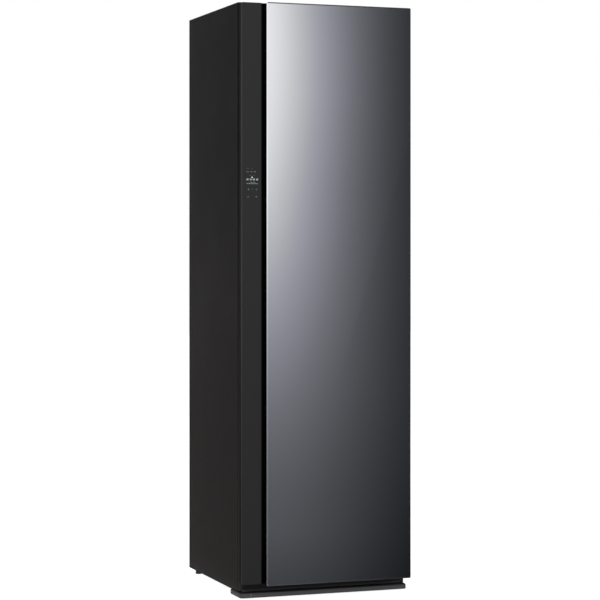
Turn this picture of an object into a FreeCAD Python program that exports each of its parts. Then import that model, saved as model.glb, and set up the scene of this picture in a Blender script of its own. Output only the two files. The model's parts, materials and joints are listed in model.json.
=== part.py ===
"""Steam clothes care cabinet: a tall free-standing cabinet with one mirrored door.

Frame: origin on the floor under the middle of the cabinet, +X to the right as seen from
the front, -Y towards the front, +Z up. Millimetres. Every piece is an object of the
document whose sizes are bound to the spreadsheet "Sizes".
"""

import FreeCAD, Part

import math
import os
import re

import Sketcher
from FreeCAD import Placement, Rotation, Vector

SIZES = {
    # whole cabinet
    "cabinet_width": 590.0,
    "cabinet_height": 1960.0,
    "overall_depth": 620.0,
    "door_depth": 60.0,  # glass face to the front of the side panels
    "panel_bottom": 19.5,  # height of the side panels' lower edge
    "fit_gap": 0.3,  # clearance between pieces that slide or lift
    "running_gap": 0.05,  # radial clearance of a shaft in its bore
    # outer sheet steel
    "sheet_steel": 1.2,
    "front_flange": 14.0,
    "rear_flange": 12.0,
    "edge_radius": 8.0,
    "swage_width": 90.0,
    "swage_margin": 110.0,
    "vent_count": 12,
    "vent_pitch": 20.0,
    "vent_width": 110.0,
    "vent_height": 7.0,
    "vent_low": 110.0,
    # chamber walls
    "wall_depth": 32.0,  # outer face of the cabinet to the chamber's side wall
    "back_depth": 43.0,
    "liner_wall": 3.0,
    "frame_thick": 5.0,
    "frame_bottom": 60.0,
    "floor_height": 420.0,
    "floor_thick": 6.0,
    "flute_width": 8.0,
    "flute_count": 9,
    "drive_room": 160.0,  # chamber ceiling to the top of the cabinet
    "screw_room": 10.0,  # behind the side foam, for the back sheet's screws
    # base
    "chassis_sheet": 2.0,
    "chassis_rim": 22.0,
    "chassis_rib": 24.0,
    "rib_height": 5.0,
    "cover_wall": 3.0,
    "plinth_reach": 25.5,
    "plinth_bottom": 2.0,
    "plinth_radius": 12.0,
    "plinth_back": 108.0,
    "plinth_arm": 22.0,
    "plinth_bar": 48.0,
    "plinth_wall": 3.0,
    "plinth_slope": 4.5,
    "plinth_ribs": 6,
    "front_foot_inset": 45.0,
    "front_foot_setback": 72.0,
    "foot_radius": 18.0,
    "foot_pad": 7.0,
    "foot_nut": 5.0,
    "foot_nut_radius": 8.5,
    "foot_stud": 5.0,
    "stud_length": 44.0,
    "rear_foot_inset": 26.0,
    "rear_foot_setback": 30.0,
    "rear_foot_radius": 11.0,
    # tank bay, tanks and lint filter
    "bay_bottom": 72.0,
    "bay_height": 268.0,
    "bay_depth": 140.0,
    "bay_wall": 3.0,
    "tank_side_gap": 5.0,
    "tank_height": 250.0,
    "tank_setback": 40.0,
    "tank_back_gap": 2.0,
    "tank_wall": 3.0,
    "tank_radius": 12.0,
    "tank_pocket_width": 120.0,
    "tank_pocket_height": 32.0,
    "tank_pocket_depth": 22.0,
    "tank_pocket_drop": 20.0,
    "lid_thick": 4.0,
    "lid_cap_radius": 24.0,
    "lid_cap_height": 8.0,
    "filter_width": 218.0,
    "filter_depth": 58.0,
    "filter_height": 68.0,
    "filter_setback": 55.0,
    "filter_gap": 1.0,
    "filter_lip": 7.0,
    "filter_lip_thick": 4.0,
    "filter_frame": 9.0,
    "mesh_thick": 1.0,
    "housing_wall": 3.0,
    # air and steam
    "outlet_width": 240.0,
    "outlet_depth": 80.0,
    "outlet_setback": 120.0,  # back of the cabinet to the middle of the outlet
    "slat_count": 11,
    "slat_thick": 3.0,
    "grille_lip": 8.0,
    "grille_rise": 2.0,
    "fan_radius": 62.0,
    "fan_width": 48.0,
    "fan_side_gap": 1.5,
    "fan_disc": 2.5,
    "fan_hub": 12.0,
    "fan_hub_length": 18.0,
    "fan_height": 255.0,
    "blade_count": 16,
    "blade_thick": 1.6,
    "scroll_gap": 14.0,
    "scroll_wall": 3.0,
    "motor_radius": 38.0,
    "motor_length": 48.0,
    "motor_foot_gap": 8.0,
    "bracket_wall": 5.0,
    "shaft_radius": 4.0,
    "compressor_radius": 60.0,
    "compressor_height": 200.0,
    "compressor_shoulder": 26.0,
    "compressor_setback": 130.0,
    "compressor_foot": 14.0,
    "foot_plate": 3.0,
    "compressor_gap": 9.0,
    "mount_height": 12.0,
    "mount_width": 22.0,
    "exchanger_width": 230.0,
    "exchanger_height": 130.0,
    "exchanger_depth": 38.0,
    "exchanger_low": 180.0,
    "exchanger_gap": 28.0,
    "exchanger_space": 14.0,
    "fin_count": 12,
    "fin_thick": 3.0,
    "fin_depth": 5.0,
    "tray_depth": 14.0,
    "tray_lip": 6.0,
    "tray_wall": 3.0,
    "leg_width": 12.0,
    "tube_radius": 4.0,
    "boiler_width": 130.0,
    "boiler_depth": 90.0,
    "boiler_height": 80.0,
    "boiler_low": 70.0,
    "boiler_inset": 90.0,
    "boiler_flange": 5.0,
    "boiler_stub": 12.0,
    "boiler_foot": 14.0,
    "steam_reach": 80.0,  # middle of the outlet to the steam nozzle
    "hose_radius": 6.4,
    "hose_drop": 50.0,
    "tube_spacing": 24.0,
    "tube_rise": 48.0,
    "nozzle_radius": 24.0,
    "nozzle_height": 12.0,
    "nozzle_slope": 7.0,
    "nozzle_slot": 3.0,
    "nozzle_slot_length": 16.0,
    "pump_radius": 20.0,
    "pump_length": 60.0,
    "pump_foot": 10.0,
    # moving hanger
    "rack_end_gap": 43.0,
    "rack_depth": 24.0,
    "rack_height": 20.0,
    "rack_drop": 62.0,  # chamber ceiling to the underside of the rack
    "notch_count": 5,
    "notch_pitch": 80.0,
    "notch_width": 9.0,
    "notch_depth": 8.0,
    "notch_flare": 3.0,
    "rack_post": 7.0,
    "post_sink": 2.0,
    "post_spacing": 260.0,
    "slot_spare": 3.0,
    "crank_radius": 20.0,  # half of the rack's stroke
    "carriage_length": 300.0,
    "carriage_depth": 140.0,
    "carriage_height": 20.0,
    "carriage_low": 22.0,
    "guide_radius": 6.0,
    "guide_spacing": 110.0,
    "guide_spare": 5.0,  # end of the carriage's stroke to the guide blocks
    "guide_block": 15.0,
    "guide_seat": 12.0,
    "guide_wall": 5.0,
    "yoke_height": 8.0,
    "yoke_slot": 13.0,
    "yoke_end_gap": 4.0,
    "yoke_wall": 12.0,
    "yoke_end": 10.0,
    "crank_pin": 6.0,
    "crank_wheel": 52.0,
    "motor_wheel": 19.0,
    "wheel_lip": 3.0,
    "wheel_width": 14.0,
    "belt_width": 10.0,
    "belt_thick": 2.0,
    "belt_play": 1.0,
    "bearing_height": 12.0,
    "wheel_room": 12.0,
    "wheel_rise": 5.0,
    "pin_play": 0.5,
    "bearing_margin": 22.0,
    "drive_spacing": 150.0,
    "drive_plate": 3.0,
    "drive_motor_radius": 34.0,
    "drive_motor_height": 50.0,
    # chamber fittings
    "shelf_height": 500.0,
    "shelf_setback": 154.0,
    "shelf_gap": 17.0,
    "shelf_thick": 6.0,
    "shelf_rim": 10.0,
    "shelf_slat": 7.0,
    "shelf_slats": 16,
    "shelf_side_gap": 2.0,
    "ledge_width": 10.0,
    "ledge_height": 6.0,
    "lamp_width": 240.0,
    "lamp_depth": 20.0,
    "lamp_height": 6.0,
    "board_width": 170.0,
    "board_depth": 130.0,
    "board_setback": 27.0,  # chamber's back to the board's tray
    "board_rim": 24.0,
    "board_wall": 3.0,
    "board_thick": 2.0,
    "board_part": 30.0,
    "board_part_height": 12.0,
    # door
    "glass_drop": 3.0,  # cabinet top to glass top
    "glass_bottom": 43.0,
    "glass_thick": 5.0,
    "glass_bevel": 4.0,
    "column_step": 10.0,  # column face behind the glass face
    "column_width": 64.0,
    "column_depth": 20.0,
    "column_wall": 2.5,
    "grip_width": 15.0,
    "grip_undercut": 20.0,
    "grip_depth": 30.0,
    "grip_wall": 2.0,
    "carrier_thick": 9.0,
    "carrier_inset": 2.0,
    "door_wall": 3.0,
    "door_cells": 8,
    "cell_rib": 4.0,
    "door_bottom": 50.0,
    "door_liner": 4.0,
    "seal_gap": 8.0,  # door back to the side panels' front
    "gasket_width": 12.0,
    "gasket_inset": 16.0,
    "gasket_rise": 3.0,  # foot of the frame to the gasket
    "gasket_over": 22.0,  # chamber ceiling to the gasket's top
    "gasket_foot": 2.0,
    "gasket_neck": 3.0,
    "magnet_lip": 2.5,
    "dam_height": 10.0,
    "dam_width": 12.0,
    "dam_margin": 18.0,
    "display_low": 1300.0,
    "display_height": 120.0,
    "display_width": 48.0,
    "display_thick": 9.0,
    "plug_low": 10.0,
    "plug_height": 12.0,
    "plug_depth": 6.0,
    # door hinges
    "hinge_inset": 14.0,
    "hinge_reach": 25.0,
    "hinge_plate": 4.0,
    "hinge_arm": 20.0,
    "hinge_gap": 1.0,
    "hinge_pin": 4.5,
    "pin_length": 18.0,
    "bush_wall": 2.5,
    "bush_lip": 2.0,
    # trouser press
    "press_low": 650.0,
    "press_height": 850.0,
    "press_width": 310.0,
    "press_thick": 12.0,
    "press_gap": 8.0,
    "press_side": 170.0,
    "press_knuckle": 7.0,
    "press_pin": 2.5,
    "press_lug": 10.0,
    "press_lug_wall": 3.0,
    "press_slot": 60.0,
    "press_slot_height": 10.0,
    "press_slot_rows": 9,
    "press_bore": 20.0,
    "press_pin_length": 16.0,
    # cord inlet
    "inlet_radius": 12.0,
    "inlet_lip": 4.0,
    "inlet_side": -230.0,
    "inlet_height": 75.0,
}

# Places worked out from the sizes, as expression texts.
SIDE = "(cabinet_width / 2)"
BACK = "(overall_depth / 2)"
DOOR_FRONT = "(-overall_depth / 2)"
FRONT = "(door_depth - overall_depth / 2)"
SKIN_IN = f"({SIDE} - sheet_steel)"
BACK_IN = f"({BACK} - sheet_steel)"
COVER_IN = f"({BACK} - 2 * sheet_steel)"
TOP_UNDER = "(cabinet_height - sheet_steel)"
FRAME_SIDE = f"({SIDE} - edge_radius)"
FRAME_FRONT = f"({FRONT} + sheet_steel)"
FRAME_BACK = f"({FRAME_FRONT} + frame_thick)"
CHAMBER_SIDE = f"({SIDE} - wall_depth)"
LINER_SIDE = f"({CHAMBER_SIDE} + liner_wall)"
CHAMBER_BACK = f"({BACK} - back_depth)"
LINER_BACK = f"({CHAMBER_BACK} + liner_wall)"
CEILING = "(cabinet_height - drive_room)"
CEILING_TOP = f"({CEILING} + liner_wall)"
FLOOR_UNDER = "(floor_height - floor_thick)"
CHASSIS_TOP = "(panel_bottom + chassis_sheet)"
CHASSIS_FRONT = f"({FRONT} + edge_radius)"
BAY_TOP = "(bay_bottom + bay_height)"
BAY_BACK = f"({FRAME_BACK} + bay_depth)"
OUTLET_Y = f"({BACK} - outlet_setback)"

doc = FreeCAD.newDocument("SteamCabinet")

GUESS_RADIUS = 100  # size of an outline before its corners are bound
GUESS_CIRCLE = 5  # size of a circle before its radius is bound
MITRED = 1  # pipe shell's way round a corner

# ---------------------------------------------------------------- spreadsheet and binding


def make_sheet():
    """Spreadsheet of the driving sizes: a name in column A, its value in column B."""
    sheet = doc.addObject("Spreadsheet::Sheet", "Sizes")
    for row, (alias, value) in enumerate(SIZES.items(), start=1):
        sheet.set(f"A{row}", alias)
        sheet.set(f"B{row}", str(value))
        sheet.setAlias(f"B{row}", alias)
    doc.recompute()


make_sheet()
WORKED = doc.addObject("Spreadsheet::Sheet", "Worked")
NODES = []


def sized(text):
    """Expression text in which every size name points at the spreadsheet."""
    return re.sub(r"[a-z][a-z_]+", lambda word: ("Sizes." if word[0] in SIZES else "") + word[0], str(text))


def number(text):
    """Value of an expression text at the present sizes."""
    WORKED.set("A1", "=" + sized(text))
    WORKED.recompute()
    return float(WORKED.get("A1"))


def bind(thing, **sizes):
    """Bind properties of an object to expression texts."""
    for name, text in sizes.items():
        thing.setExpression(name, sized(text))


def place(thing, x=0, y=0, z=0):
    """Bind the place of an object to expression texts."""
    for axis, text in (("x", x), ("y", y), ("z", z)):
        thing.setExpression(f".Placement.Base.{axis}", sized(text))
    return thing


def node(thing, name):
    """Mark an object as a sub-part of the assembly, under its own name."""
    thing.Label = name
    NODES.append(thing)
    return thing


# ---------------------------------------------------------------- part design helpers

PLANES = {"XY": ("XY_Plane", 1), "XZ": ("XZ_Plane", -1), "YZ": ("YZ_Plane", 1)}


def new_body(name, alone=True):
    """A body, which is a sub-part by itself unless it goes into a group."""
    body = doc.addObject("PartDesign::Body", name)
    return node(body, name) if alone else body


def origin_of(body, role):
    """An origin plane or axis of a body."""
    return next(item for item in body.Origin.OriginFeatures if item.Role == role)


def sketch_on(body, plane, height, outlines=(), circles=()):
    """Sketch parallel to an origin plane, at a height along the axis across that plane."""
    role, facing = PLANES[plane]
    sketch = body.newObject("Sketcher::SketchObject", f"{body.Name}_sketch")
    sketch.AttachmentSupport = [(origin_of(body, role), "")]
    sketch.MapMode = "FlatFace"
    sketch.setExpression("AttachmentOffset.Base.z", sized(f"{facing} * ({height})"))
    for corners in outlines:
        draw_outline(sketch, corners)
    for across, up, radius in circles:
        draw_circle(sketch, across, up, radius)
    return sketch


def draw_outline(sketch, corners):
    """Closed outline of straight lines, each corner bound to a pair of expression texts."""
    start = sketch.GeometryCount
    count = len(corners)
    turns = [2 * math.pi * index / count for index in range(count)]
    guesses = [Vector(math.cos(turn), math.sin(turn), 0) * GUESS_RADIUS for turn in turns]
    for index in range(count):
        sketch.addGeometry(Part.LineSegment(guesses[index], guesses[(index + 1) % count]), False)
    for index in range(count):
        following = start + (index + 1) % count
        sketch.addConstraint(Sketcher.Constraint("Coincident", start + index, 2, following, 1))
    for index, (across, up) in enumerate(corners):
        guess = guesses[index]
        bind_point(sketch, start + index, 1, (across, guess.x), (up, guess.y))


def draw_circle(sketch, across, up, radius):
    """Circle whose centre and radius are bound to expression texts."""
    index = sketch.addGeometry(Part.Circle(Vector(1, 1, 0), Vector(0, 0, 1), GUESS_CIRCLE), False)
    bind_point(sketch, index, 3, (across, 1), (up, 1))
    rule = sketch.addConstraint(Sketcher.Constraint("Radius", index, GUESS_CIRCLE))
    sketch.setExpression(f"Constraints[{rule}]", sized(radius))


def bind_point(sketch, geometry, position, across, up):
    """Bind a point of a sketch to a pair of (expression text, first guess)."""
    for kind, (text, guess) in (("DistanceX", across), ("DistanceY", up)):
        rule = sketch.addConstraint(Sketcher.Constraint(kind, -1, 1, geometry, position, guess))
        sketch.setExpression(f"Constraints[{rule}]", sized(text))


def box_outline(low_across, high_across, low_up, high_up):
    """Four corners of an upright rectangle."""
    return [
        (low_across, low_up),
        (high_across, low_up),
        (high_across, high_up),
        (low_across, high_up),
    ]


def add(body, plane, low, high, outlines=(), circles=()):
    """Pad an outline between two heights along the axis across the plane."""
    sketch = sketch_on(body, plane, low, outlines, circles)
    pad = body.newObject("PartDesign::Pad", f"{body.Name}_pad")
    pad.Profile = sketch
    pad.Reversed = PLANES[plane][1] < 0
    bind(pad, Length=f"({high}) - ({low})")
    return pad


def take(body, plane, low, high, outlines=(), circles=()):
    """Pocket an outline between two heights; the body has to lose volume by it."""
    doc.recompute()
    before = body.Shape.Volume
    sketch = sketch_on(body, plane, low, outlines, circles)
    pocket = body.newObject("PartDesign::Pocket", f"{body.Name}_pocket")
    pocket.Profile = sketch
    pocket.Reversed = PLANES[plane][1] > 0
    bind(pocket, Length=f"({high}) - ({low})")
    doc.recompute()
    if not body.Shape.Volume < before:
        raise RuntimeError(f"{pocket.Name} of {body.Label} cuts nothing")
    return pocket


def turn(body, corners, label="turned"):
    """Revolve a half profile of (radius, height) about the body's Z axis."""
    sketch = sketch_on(body, "XZ", 0, [corners])
    revolution = body.newObject("PartDesign::Revolution", f"{body.Name}_{label}")
    revolution.Profile = sketch
    revolution.ReferenceAxis = (sketch, ["V_Axis"])
    revolution.Angle = 360
    return revolution


def repeat(body, feature, role, length, count, reverse=False):
    """Linear pattern of one feature along an origin axis."""
    pattern = body.newObject("PartDesign::LinearPattern", f"{body.Name}_row")
    pattern.Originals = [feature]
    pattern.Direction = (origin_of(body, role), [""])
    pattern.Reversed = reverse
    bind(pattern, Length=length, Occurrences=count)
    body.Tip = pattern
    return pattern


def around(body, feature, count):
    """Polar pattern of one feature about the body's Z axis."""
    pattern = body.newObject("PartDesign::PolarPattern", f"{body.Name}_ring")
    pattern.Originals = [feature]
    pattern.Axis = (origin_of(body, "Z_Axis"), [""])
    pattern.Angle = 360
    bind(pattern, Occurrences=count)
    body.Tip = pattern
    return pattern


def edges_at(body, **spot):
    """Names of the edges whose ends all lie at the given x, y or z."""
    doc.recompute()
    wanted = {axis: number(text) for axis, text in spot.items()}
    names = []
    for index, edge in enumerate(body.Tip.Shape.Edges, start=1):
        ends = [vertex.Point for vertex in edge.Vertexes]
        if all(abs(getattr(end, axis) - value) < 1e-4 for end in ends for axis, value in wanted.items()):
            names.append(f"Edge{index}")
    return names


def dress(body, kind, size, spots):
    """Fillet or chamfer the edges at each of the given places."""
    names = []
    for spot in spots:
        names += [name for name in edges_at(body, **spot) if name not in names]
    if not names:
        raise RuntimeError(f"no edge to dress on {body.Label}")
    base = body.Tip
    feature = body.newObject(f"PartDesign::{kind}", f"{body.Name}_{kind.lower()}")
    feature.Base = (base, names)
    if kind == "Fillet":
        bind(feature, Radius=size)
    else:
        bind(feature, Size=size)
    return feature


def fillet(body, radius, *spots):
    return dress(body, "Fillet", radius, spots)


def chamfer(body, size, *spots):
    return dress(body, "Chamfer", size, spots)


# ---------------------------------------------------------------- part workbench helpers

TURNS = {"x": Rotation(Vector(0, 1, 0), 90), "y": Rotation(Vector(1, 0, 0), -90), "z": Rotation()}


def block(name, x_low, x_high, y_low, y_high, z_low, z_high):
    """Box between bound limits."""
    thing = doc.addObject("Part::Box", name)
    bind(
        thing,
        Length=f"({x_high}) - ({x_low})",
        Width=f"({y_high}) - ({y_low})",
        Height=f"({z_high}) - ({z_low})",
    )
    return place(thing, x_low, y_low, z_low)


def rod(name, axis, x, y, z, length, radius):
    """Cylinder along an axis that starts at a bound point."""
    thing = doc.addObject("Part::Cylinder", name)
    thing.Placement = Placement(Vector(), TURNS[axis])
    bind(thing, Height=length, Radius=radius)
    return place(thing, x, y, z)


def join(name, things):
    """One solid, or one group of solids, from several."""
    fusion = doc.addObject("Part::MultiFuse", name)
    fusion.Shapes = things
    fusion.Refine = True
    return fusion


def group(name, things):
    """Sub-part of several separate solids of one kind."""
    compound = doc.addObject("Part::Compound", name)
    compound.Links = things
    return node(compound, name)


def carve(name, base, tools):
    """A solid less the tools."""
    cut = doc.addObject("Part::Cut", name)
    cut.Base = base
    cut.Tool = tools[0] if len(tools) == 1 else join(f"{name}_tools", tools)
    cut.Refine = True
    return cut


# ---------------------------------------------------------------- outer casing


def side_panel(name, side):
    """Folded steel side with a rounded front edge and returns at the front and the rear."""
    panel = new_body(name)
    profile = [
        (SIDE, FRONT),
        (f"({SIDE} - front_flange)", FRONT),
        (f"({SIDE} - front_flange)", FRAME_FRONT),
        (SKIN_IN, FRAME_FRONT),
        (SKIN_IN, BACK_IN),
        (f"({SIDE} - rear_flange)", BACK_IN),
        (f"({SIDE} - rear_flange)", BACK),
        (SIDE, BACK),
    ]
    corners = [(f"{side} * {across}", up) for across, up in profile]
    add(panel, "XY", "panel_bottom", "cabinet_height", [corners])
    fillet(panel, "edge_radius", {"x": f"{side} * {SIDE}", "y": FRONT})
    fillet(panel, "edge_radius - sheet_steel", {"x": f"{side} * {SKIN_IN}", "y": FRAME_FRONT})


def top_panel():
    """Steel top between the sides, with a rear return and two pressed stiffening fields."""
    panel = new_body("top_panel")
    add(panel, "XY", TOP_UNDER, "cabinet_height", [box_outline(f"-{SKIN_IN}", SKIN_IN, FRAME_FRONT, BACK_IN)])
    fillet(
        panel,
        "edge_radius - sheet_steel",
        {"x": SKIN_IN, "y": FRAME_FRONT},
        {"x": f"-{SKIN_IN}", "y": FRAME_FRONT},
    )
    lip = box_outline(f"-{SKIN_IN}", SKIN_IN, COVER_IN, BACK_IN)
    add(panel, "XY", f"{TOP_UNDER} - rear_flange", TOP_UNDER, [lip])
    for side in ("-1", "1"):
        near = f"{side} * swage_margin / 2"
        far = f"{side} * ({SIDE} - swage_margin / 2)"
        field = box_outline(near, far, f"{FRONT} + swage_margin", f"{BACK} - swage_margin")
        take(panel, "XY", "cabinet_height - sheet_steel / 2", "cabinet_height", [field])


def back_panel():
    """Upper back sheet with three raised swages that stiffen it."""
    panel = new_body("back_panel")
    outline = box_outline(f"-{SKIN_IN}", SKIN_IN, "floor_height", f"{TOP_UNDER} - rear_flange")
    add(panel, "XZ", COVER_IN, BACK_IN, [outline])
    swages = []
    for place_number in (-1, 0, 1):
        middle = f"{place_number} * (swage_width + swage_margin / 2)"
        swages.append(
            box_outline(
                f"{middle} - swage_width / 2",
                f"{middle} + swage_width / 2",
                "floor_height + swage_margin",
                "cabinet_height - swage_margin",
            )
        )
    add(panel, "XZ", BACK_IN, BACK, swages)


def rear_service_cover():
    """Lower back cover with two columns of cooling louvres and the cord inlet's hole."""
    cover = new_body("rear_service_cover")
    outline = box_outline(f"-{SKIN_IN}", SKIN_IN, CHASSIS_TOP, "floor_height")
    add(cover, "XZ", COVER_IN, BACK_IN, [outline])
    take(cover, "XZ", COVER_IN, BACK_IN, circles=[("inlet_side", "inlet_height", "inlet_radius")])
    slots, hoods = [], []
    high = "(vent_low + vent_height)"
    for side in ("-1", "1"):
        near, far = f"{side} * vent_width / 3", f"{side} * vent_width * 4 / 3"
        slots.append(box_outline(near, far, "vent_low", high))
        hoods.append(box_outline(near, far, high, f"{high} + slat_thick"))
    row = take(cover, "XZ", COVER_IN, BACK_IN, slots)
    repeat(cover, row, "Z_Axis", "vent_pitch * (vent_count - 1)", "vent_count")
    hood = add(cover, "XZ", BACK_IN, BACK, hoods)
    repeat(cover, hood, "Z_Axis", "vent_pitch * (vent_count - 1)", "vent_count")


def cord_gland():
    """Cord inlet: a square flange outside and a round neck through the sheet."""
    gland = new_body("cord_gland")
    neck = ("inlet_side", "inlet_height", "inlet_radius - running_gap")
    add(gland, "XZ", f"{COVER_IN} - inlet_radius", BACK_IN, circles=[neck])
    reach = "(inlet_radius + inlet_lip)"
    flange = box_outline(
        f"inlet_side - {reach}",
        f"inlet_side + {reach}",
        f"inlet_height - {reach}",
        f"inlet_height + {reach}",
    )
    add(gland, "XZ", BACK_IN, BACK, [flange])


def base_chassis():
    """Pressed base tray: rim all round, cross ribs, and bored bosses for the front feet."""
    tray = new_body("base_chassis")
    outline = box_outline(f"-{SKIN_IN}", SKIN_IN, CHASSIS_FRONT, COVER_IN)
    add(tray, "XY", "panel_bottom", "panel_bottom + chassis_rim", [outline])
    well = box_outline(
        f"-({SKIN_IN} - chassis_sheet)",
        f"{SKIN_IN} - chassis_sheet",
        f"{CHASSIS_FRONT} + chassis_sheet",
        f"{COVER_IN} - chassis_sheet",
    )
    take(tray, "XY", CHASSIS_TOP, "panel_bottom + chassis_rim", [well])
    for y in (f"{BAY_BACK} - chassis_rib", f"{COVER_IN} - chassis_sheet - 1.5 * chassis_rib"):
        rib = box_outline(f"-({SIDE} - wall_depth)", f"{SIDE} - wall_depth", y, f"{y} + chassis_rib")
        add(tray, "XY", CHASSIS_TOP, f"{CHASSIS_TOP} + rib_height", [rib])
    bosses = [(x, y, "2.2 * foot_stud") for x, y in front_foot_places()]
    add(tray, "XY", CHASSIS_TOP, f"{CHASSIS_TOP} + 2 * rib_height", circles=bosses)
    bores = [(x, y, "foot_stud + running_gap") for x, y in front_foot_places()]
    take(tray, "XY", "panel_bottom", f"{CHASSIS_TOP} + 2 * rib_height", circles=bores)


def front_foot_places():
    """Centres of the two levelling feet."""
    for side in ("-1", "1"):
        yield f"{side} * ({SIDE} - front_foot_inset)", f"{FRONT} + front_foot_setback"


def front_foot(name, x, y):
    """Levelling foot: moulded pad, hexagon for a spanner and a stud."""
    foot = new_body(name)
    add(foot, "XY", "0", "foot_pad", circles=[("0", "0", "foot_radius")])
    turns = [math.radians(60 * index) for index in range(6)]
    reach = "foot_nut_radius"
    corners = [(f"{reach} * {math.cos(angle):.6f}", f"{reach} * {math.sin(angle):.6f}") for angle in turns]
    add(foot, "XY", "foot_pad", "foot_pad + foot_nut", [corners])
    add(foot, "XY", "foot_pad + foot_nut", "stud_length", circles=[("0", "0", "foot_stud")])
    place(foot, x, y)


def rear_feet():
    """Plain glides under the rear corners."""
    glides = []
    for side, name in (("-1", "left"), ("1", "right")):
        x = f"{side} * ({SIDE} - rear_foot_inset)"
        y = f"{BACK} - rear_foot_setback"
        glides.append(rod(f"{name}_glide", "z", x, y, "0", "panel_bottom", "rear_foot_radius"))
    group("rear_feet", glides)


def plinth():
    """Moulded skirt round the front of the base: sloping top edge, round corners, ribs inside."""
    skirt = new_body("plinth")
    front = f"({FRONT} - plinth_reach)"
    rear = f"({FRONT} + plinth_back - plinth_reach)"
    inner = f"({SIDE} - plinth_arm)"
    corners = [
        (f"-{SIDE}", front),
        (SIDE, front),
        (SIDE, rear),
        (inner, rear),
        (inner, f"{front} + plinth_bar"),
        (f"-{inner}", f"{front} + plinth_bar"),
        (f"-{inner}", rear),
        (f"-{SIDE}", rear),
    ]
    add(skirt, "XY", "plinth_bottom", "panel_bottom", [corners])
    fillet(skirt, "plinth_radius", {"x": SIDE, "y": front}, {"x": f"-{SIDE}", "y": front})
    chamfer(skirt, "plinth_slope", {"y": front, "z": "panel_bottom"})
    hollow = [
        (f"-({SIDE} - plinth_wall)", f"{front} + plinth_radius"),
        (f"-({SIDE} - plinth_radius)", f"{front} + plinth_wall + plinth_slope"),
        (f"{SIDE} - plinth_radius", f"{front} + plinth_wall + plinth_slope"),
        (f"{SIDE} - plinth_wall", f"{front} + plinth_radius"),
        (f"{SIDE} - plinth_wall", f"{rear} - plinth_wall"),
        (f"{inner} + plinth_wall", f"{rear} - plinth_wall"),
        (f"{inner} + plinth_wall", f"{front} + plinth_bar - plinth_wall"),
        (f"-({inner} + plinth_wall)", f"{front} + plinth_bar - plinth_wall"),
        (f"-({inner} + plinth_wall)", f"{rear} - plinth_wall"),
        (f"-({SIDE} - plinth_wall)", f"{rear} - plinth_wall"),
    ]
    take(skirt, "XY", "plinth_bottom", "panel_bottom - plinth_wall", [hollow])
    web = box_outline(
        f"-({inner} - plinth_wall)",
        f"-({inner} - 2 * plinth_wall)",
        f"{front} + plinth_wall",
        f"{front} + plinth_bar - plinth_wall / 2",
    )
    rib = add(skirt, "XY", "plinth_bottom", "panel_bottom - plinth_wall", [web])
    repeat(skirt, rib, "X_Axis", f"2 * {inner} - 3 * plinth_wall", "plinth_ribs")


def lower_front_cover():
    """Painted strip below the door, notched for the lower hinge arm."""
    cover = new_body("lower_front_cover")
    half = f"({SIDE} - front_flange)"
    outline = box_outline(f"-{half}", half, "panel_bottom", "frame_bottom")
    add(cover, "XZ", FRONT, f"{FRONT} + cover_wall", [outline])
    shelf = box_outline(f"-{half}", half, "panel_bottom", "panel_bottom + cover_wall")
    add(cover, "XZ", f"{FRONT} + cover_wall", CHASSIS_FRONT, [shelf])
    notch = box_outline(
        f"{HINGE_X} - hinge_arm - fit_gap",
        half,
        f"{LOWER_ARM} - fit_gap",
        "frame_bottom",
    )
    take(cover, "XZ", FRONT, f"{FRONT} + cover_wall", [notch])


def front_frame():
    """Seal frame of the cabinet: two stiles, and rails above, between and below the two mouths."""
    depth = (FRAME_FRONT, FRAME_BACK)
    across = (f"-{CHAMBER_SIDE}", CHAMBER_SIDE)
    upright = ("frame_bottom", TOP_UNDER)
    bars = [
        block("left_stile", f"-{FRAME_SIDE}", f"-{CHAMBER_SIDE}", *depth, *upright),
        block("bottom_rail", *across, *depth, "frame_bottom", "bay_bottom"),
        block("middle_rail", *across, *depth, BAY_TOP, "floor_height"),
    ]
    notch_left = f"{HINGE_X} - hinge_arm - fit_gap"
    notch = block("arm_notch", notch_left, FRAME_SIDE, *depth, f"{UPPER_ARM} - fit_gap", TOP_UNDER)
    right = block("right_stile", CHAMBER_SIDE, FRAME_SIDE, *depth, *upright)
    top = block("top_rail", *across, *depth, CEILING, TOP_UNDER)
    bars += [carve("right_stile_notched", right, [notch]), carve("top_rail_notched", top, [notch])]
    group("front_frame", bars)


# ---------------------------------------------------------------- chamber

SHELF_FRONT = f"({FRAME_BACK} + shelf_setback)"
SHELF_BACK = f"({CHAMBER_BACK} - shelf_gap)"


def liner_side(name, side):
    """Chamber side wall with the shelf's moulded ledge."""
    wall = new_body(name, alone=False)
    across = (f"{side} * {CHAMBER_SIDE}", f"{side} * {LINER_SIDE}")
    add(wall, "XZ", FRAME_BACK, LINER_BACK, [box_outline(*across, "floor_height", CEILING)])
    ledge = [
        (f"{side} * {CHAMBER_SIDE}", "shelf_height - 2 * ledge_height"),
        (f"{side} * ({CHAMBER_SIDE} - ledge_width)", "shelf_height - ledge_height"),
        (f"{side} * ({CHAMBER_SIDE} - ledge_width)", "shelf_height"),
        (f"{side} * {CHAMBER_SIDE}", "shelf_height"),
    ]
    add(wall, "XZ", SHELF_FRONT, SHELF_BACK, [ledge])
    return wall


def liner_back():
    """Chamber back wall with shallow vertical flutes."""
    wall = new_body("liner_back_wall")
    outline = box_outline(f"-{CHAMBER_SIDE}", CHAMBER_SIDE, "floor_height", CEILING)
    add(wall, "XZ", CHAMBER_BACK, LINER_BACK, [outline])
    reach = f"({CHAMBER_SIDE} - wall_depth)"
    upright = ("shelf_height + swage_margin", f"{CEILING} - swage_margin")
    groove = box_outline(f"-{reach}", f"flute_width - {reach}", *upright)
    flute = take(wall, "XZ", CHAMBER_BACK, f"{CHAMBER_BACK} + liner_wall / 2", [groove])
    repeat(wall, flute, "X_Axis", f"2 * {reach} - flute_width", "flute_count")


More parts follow.
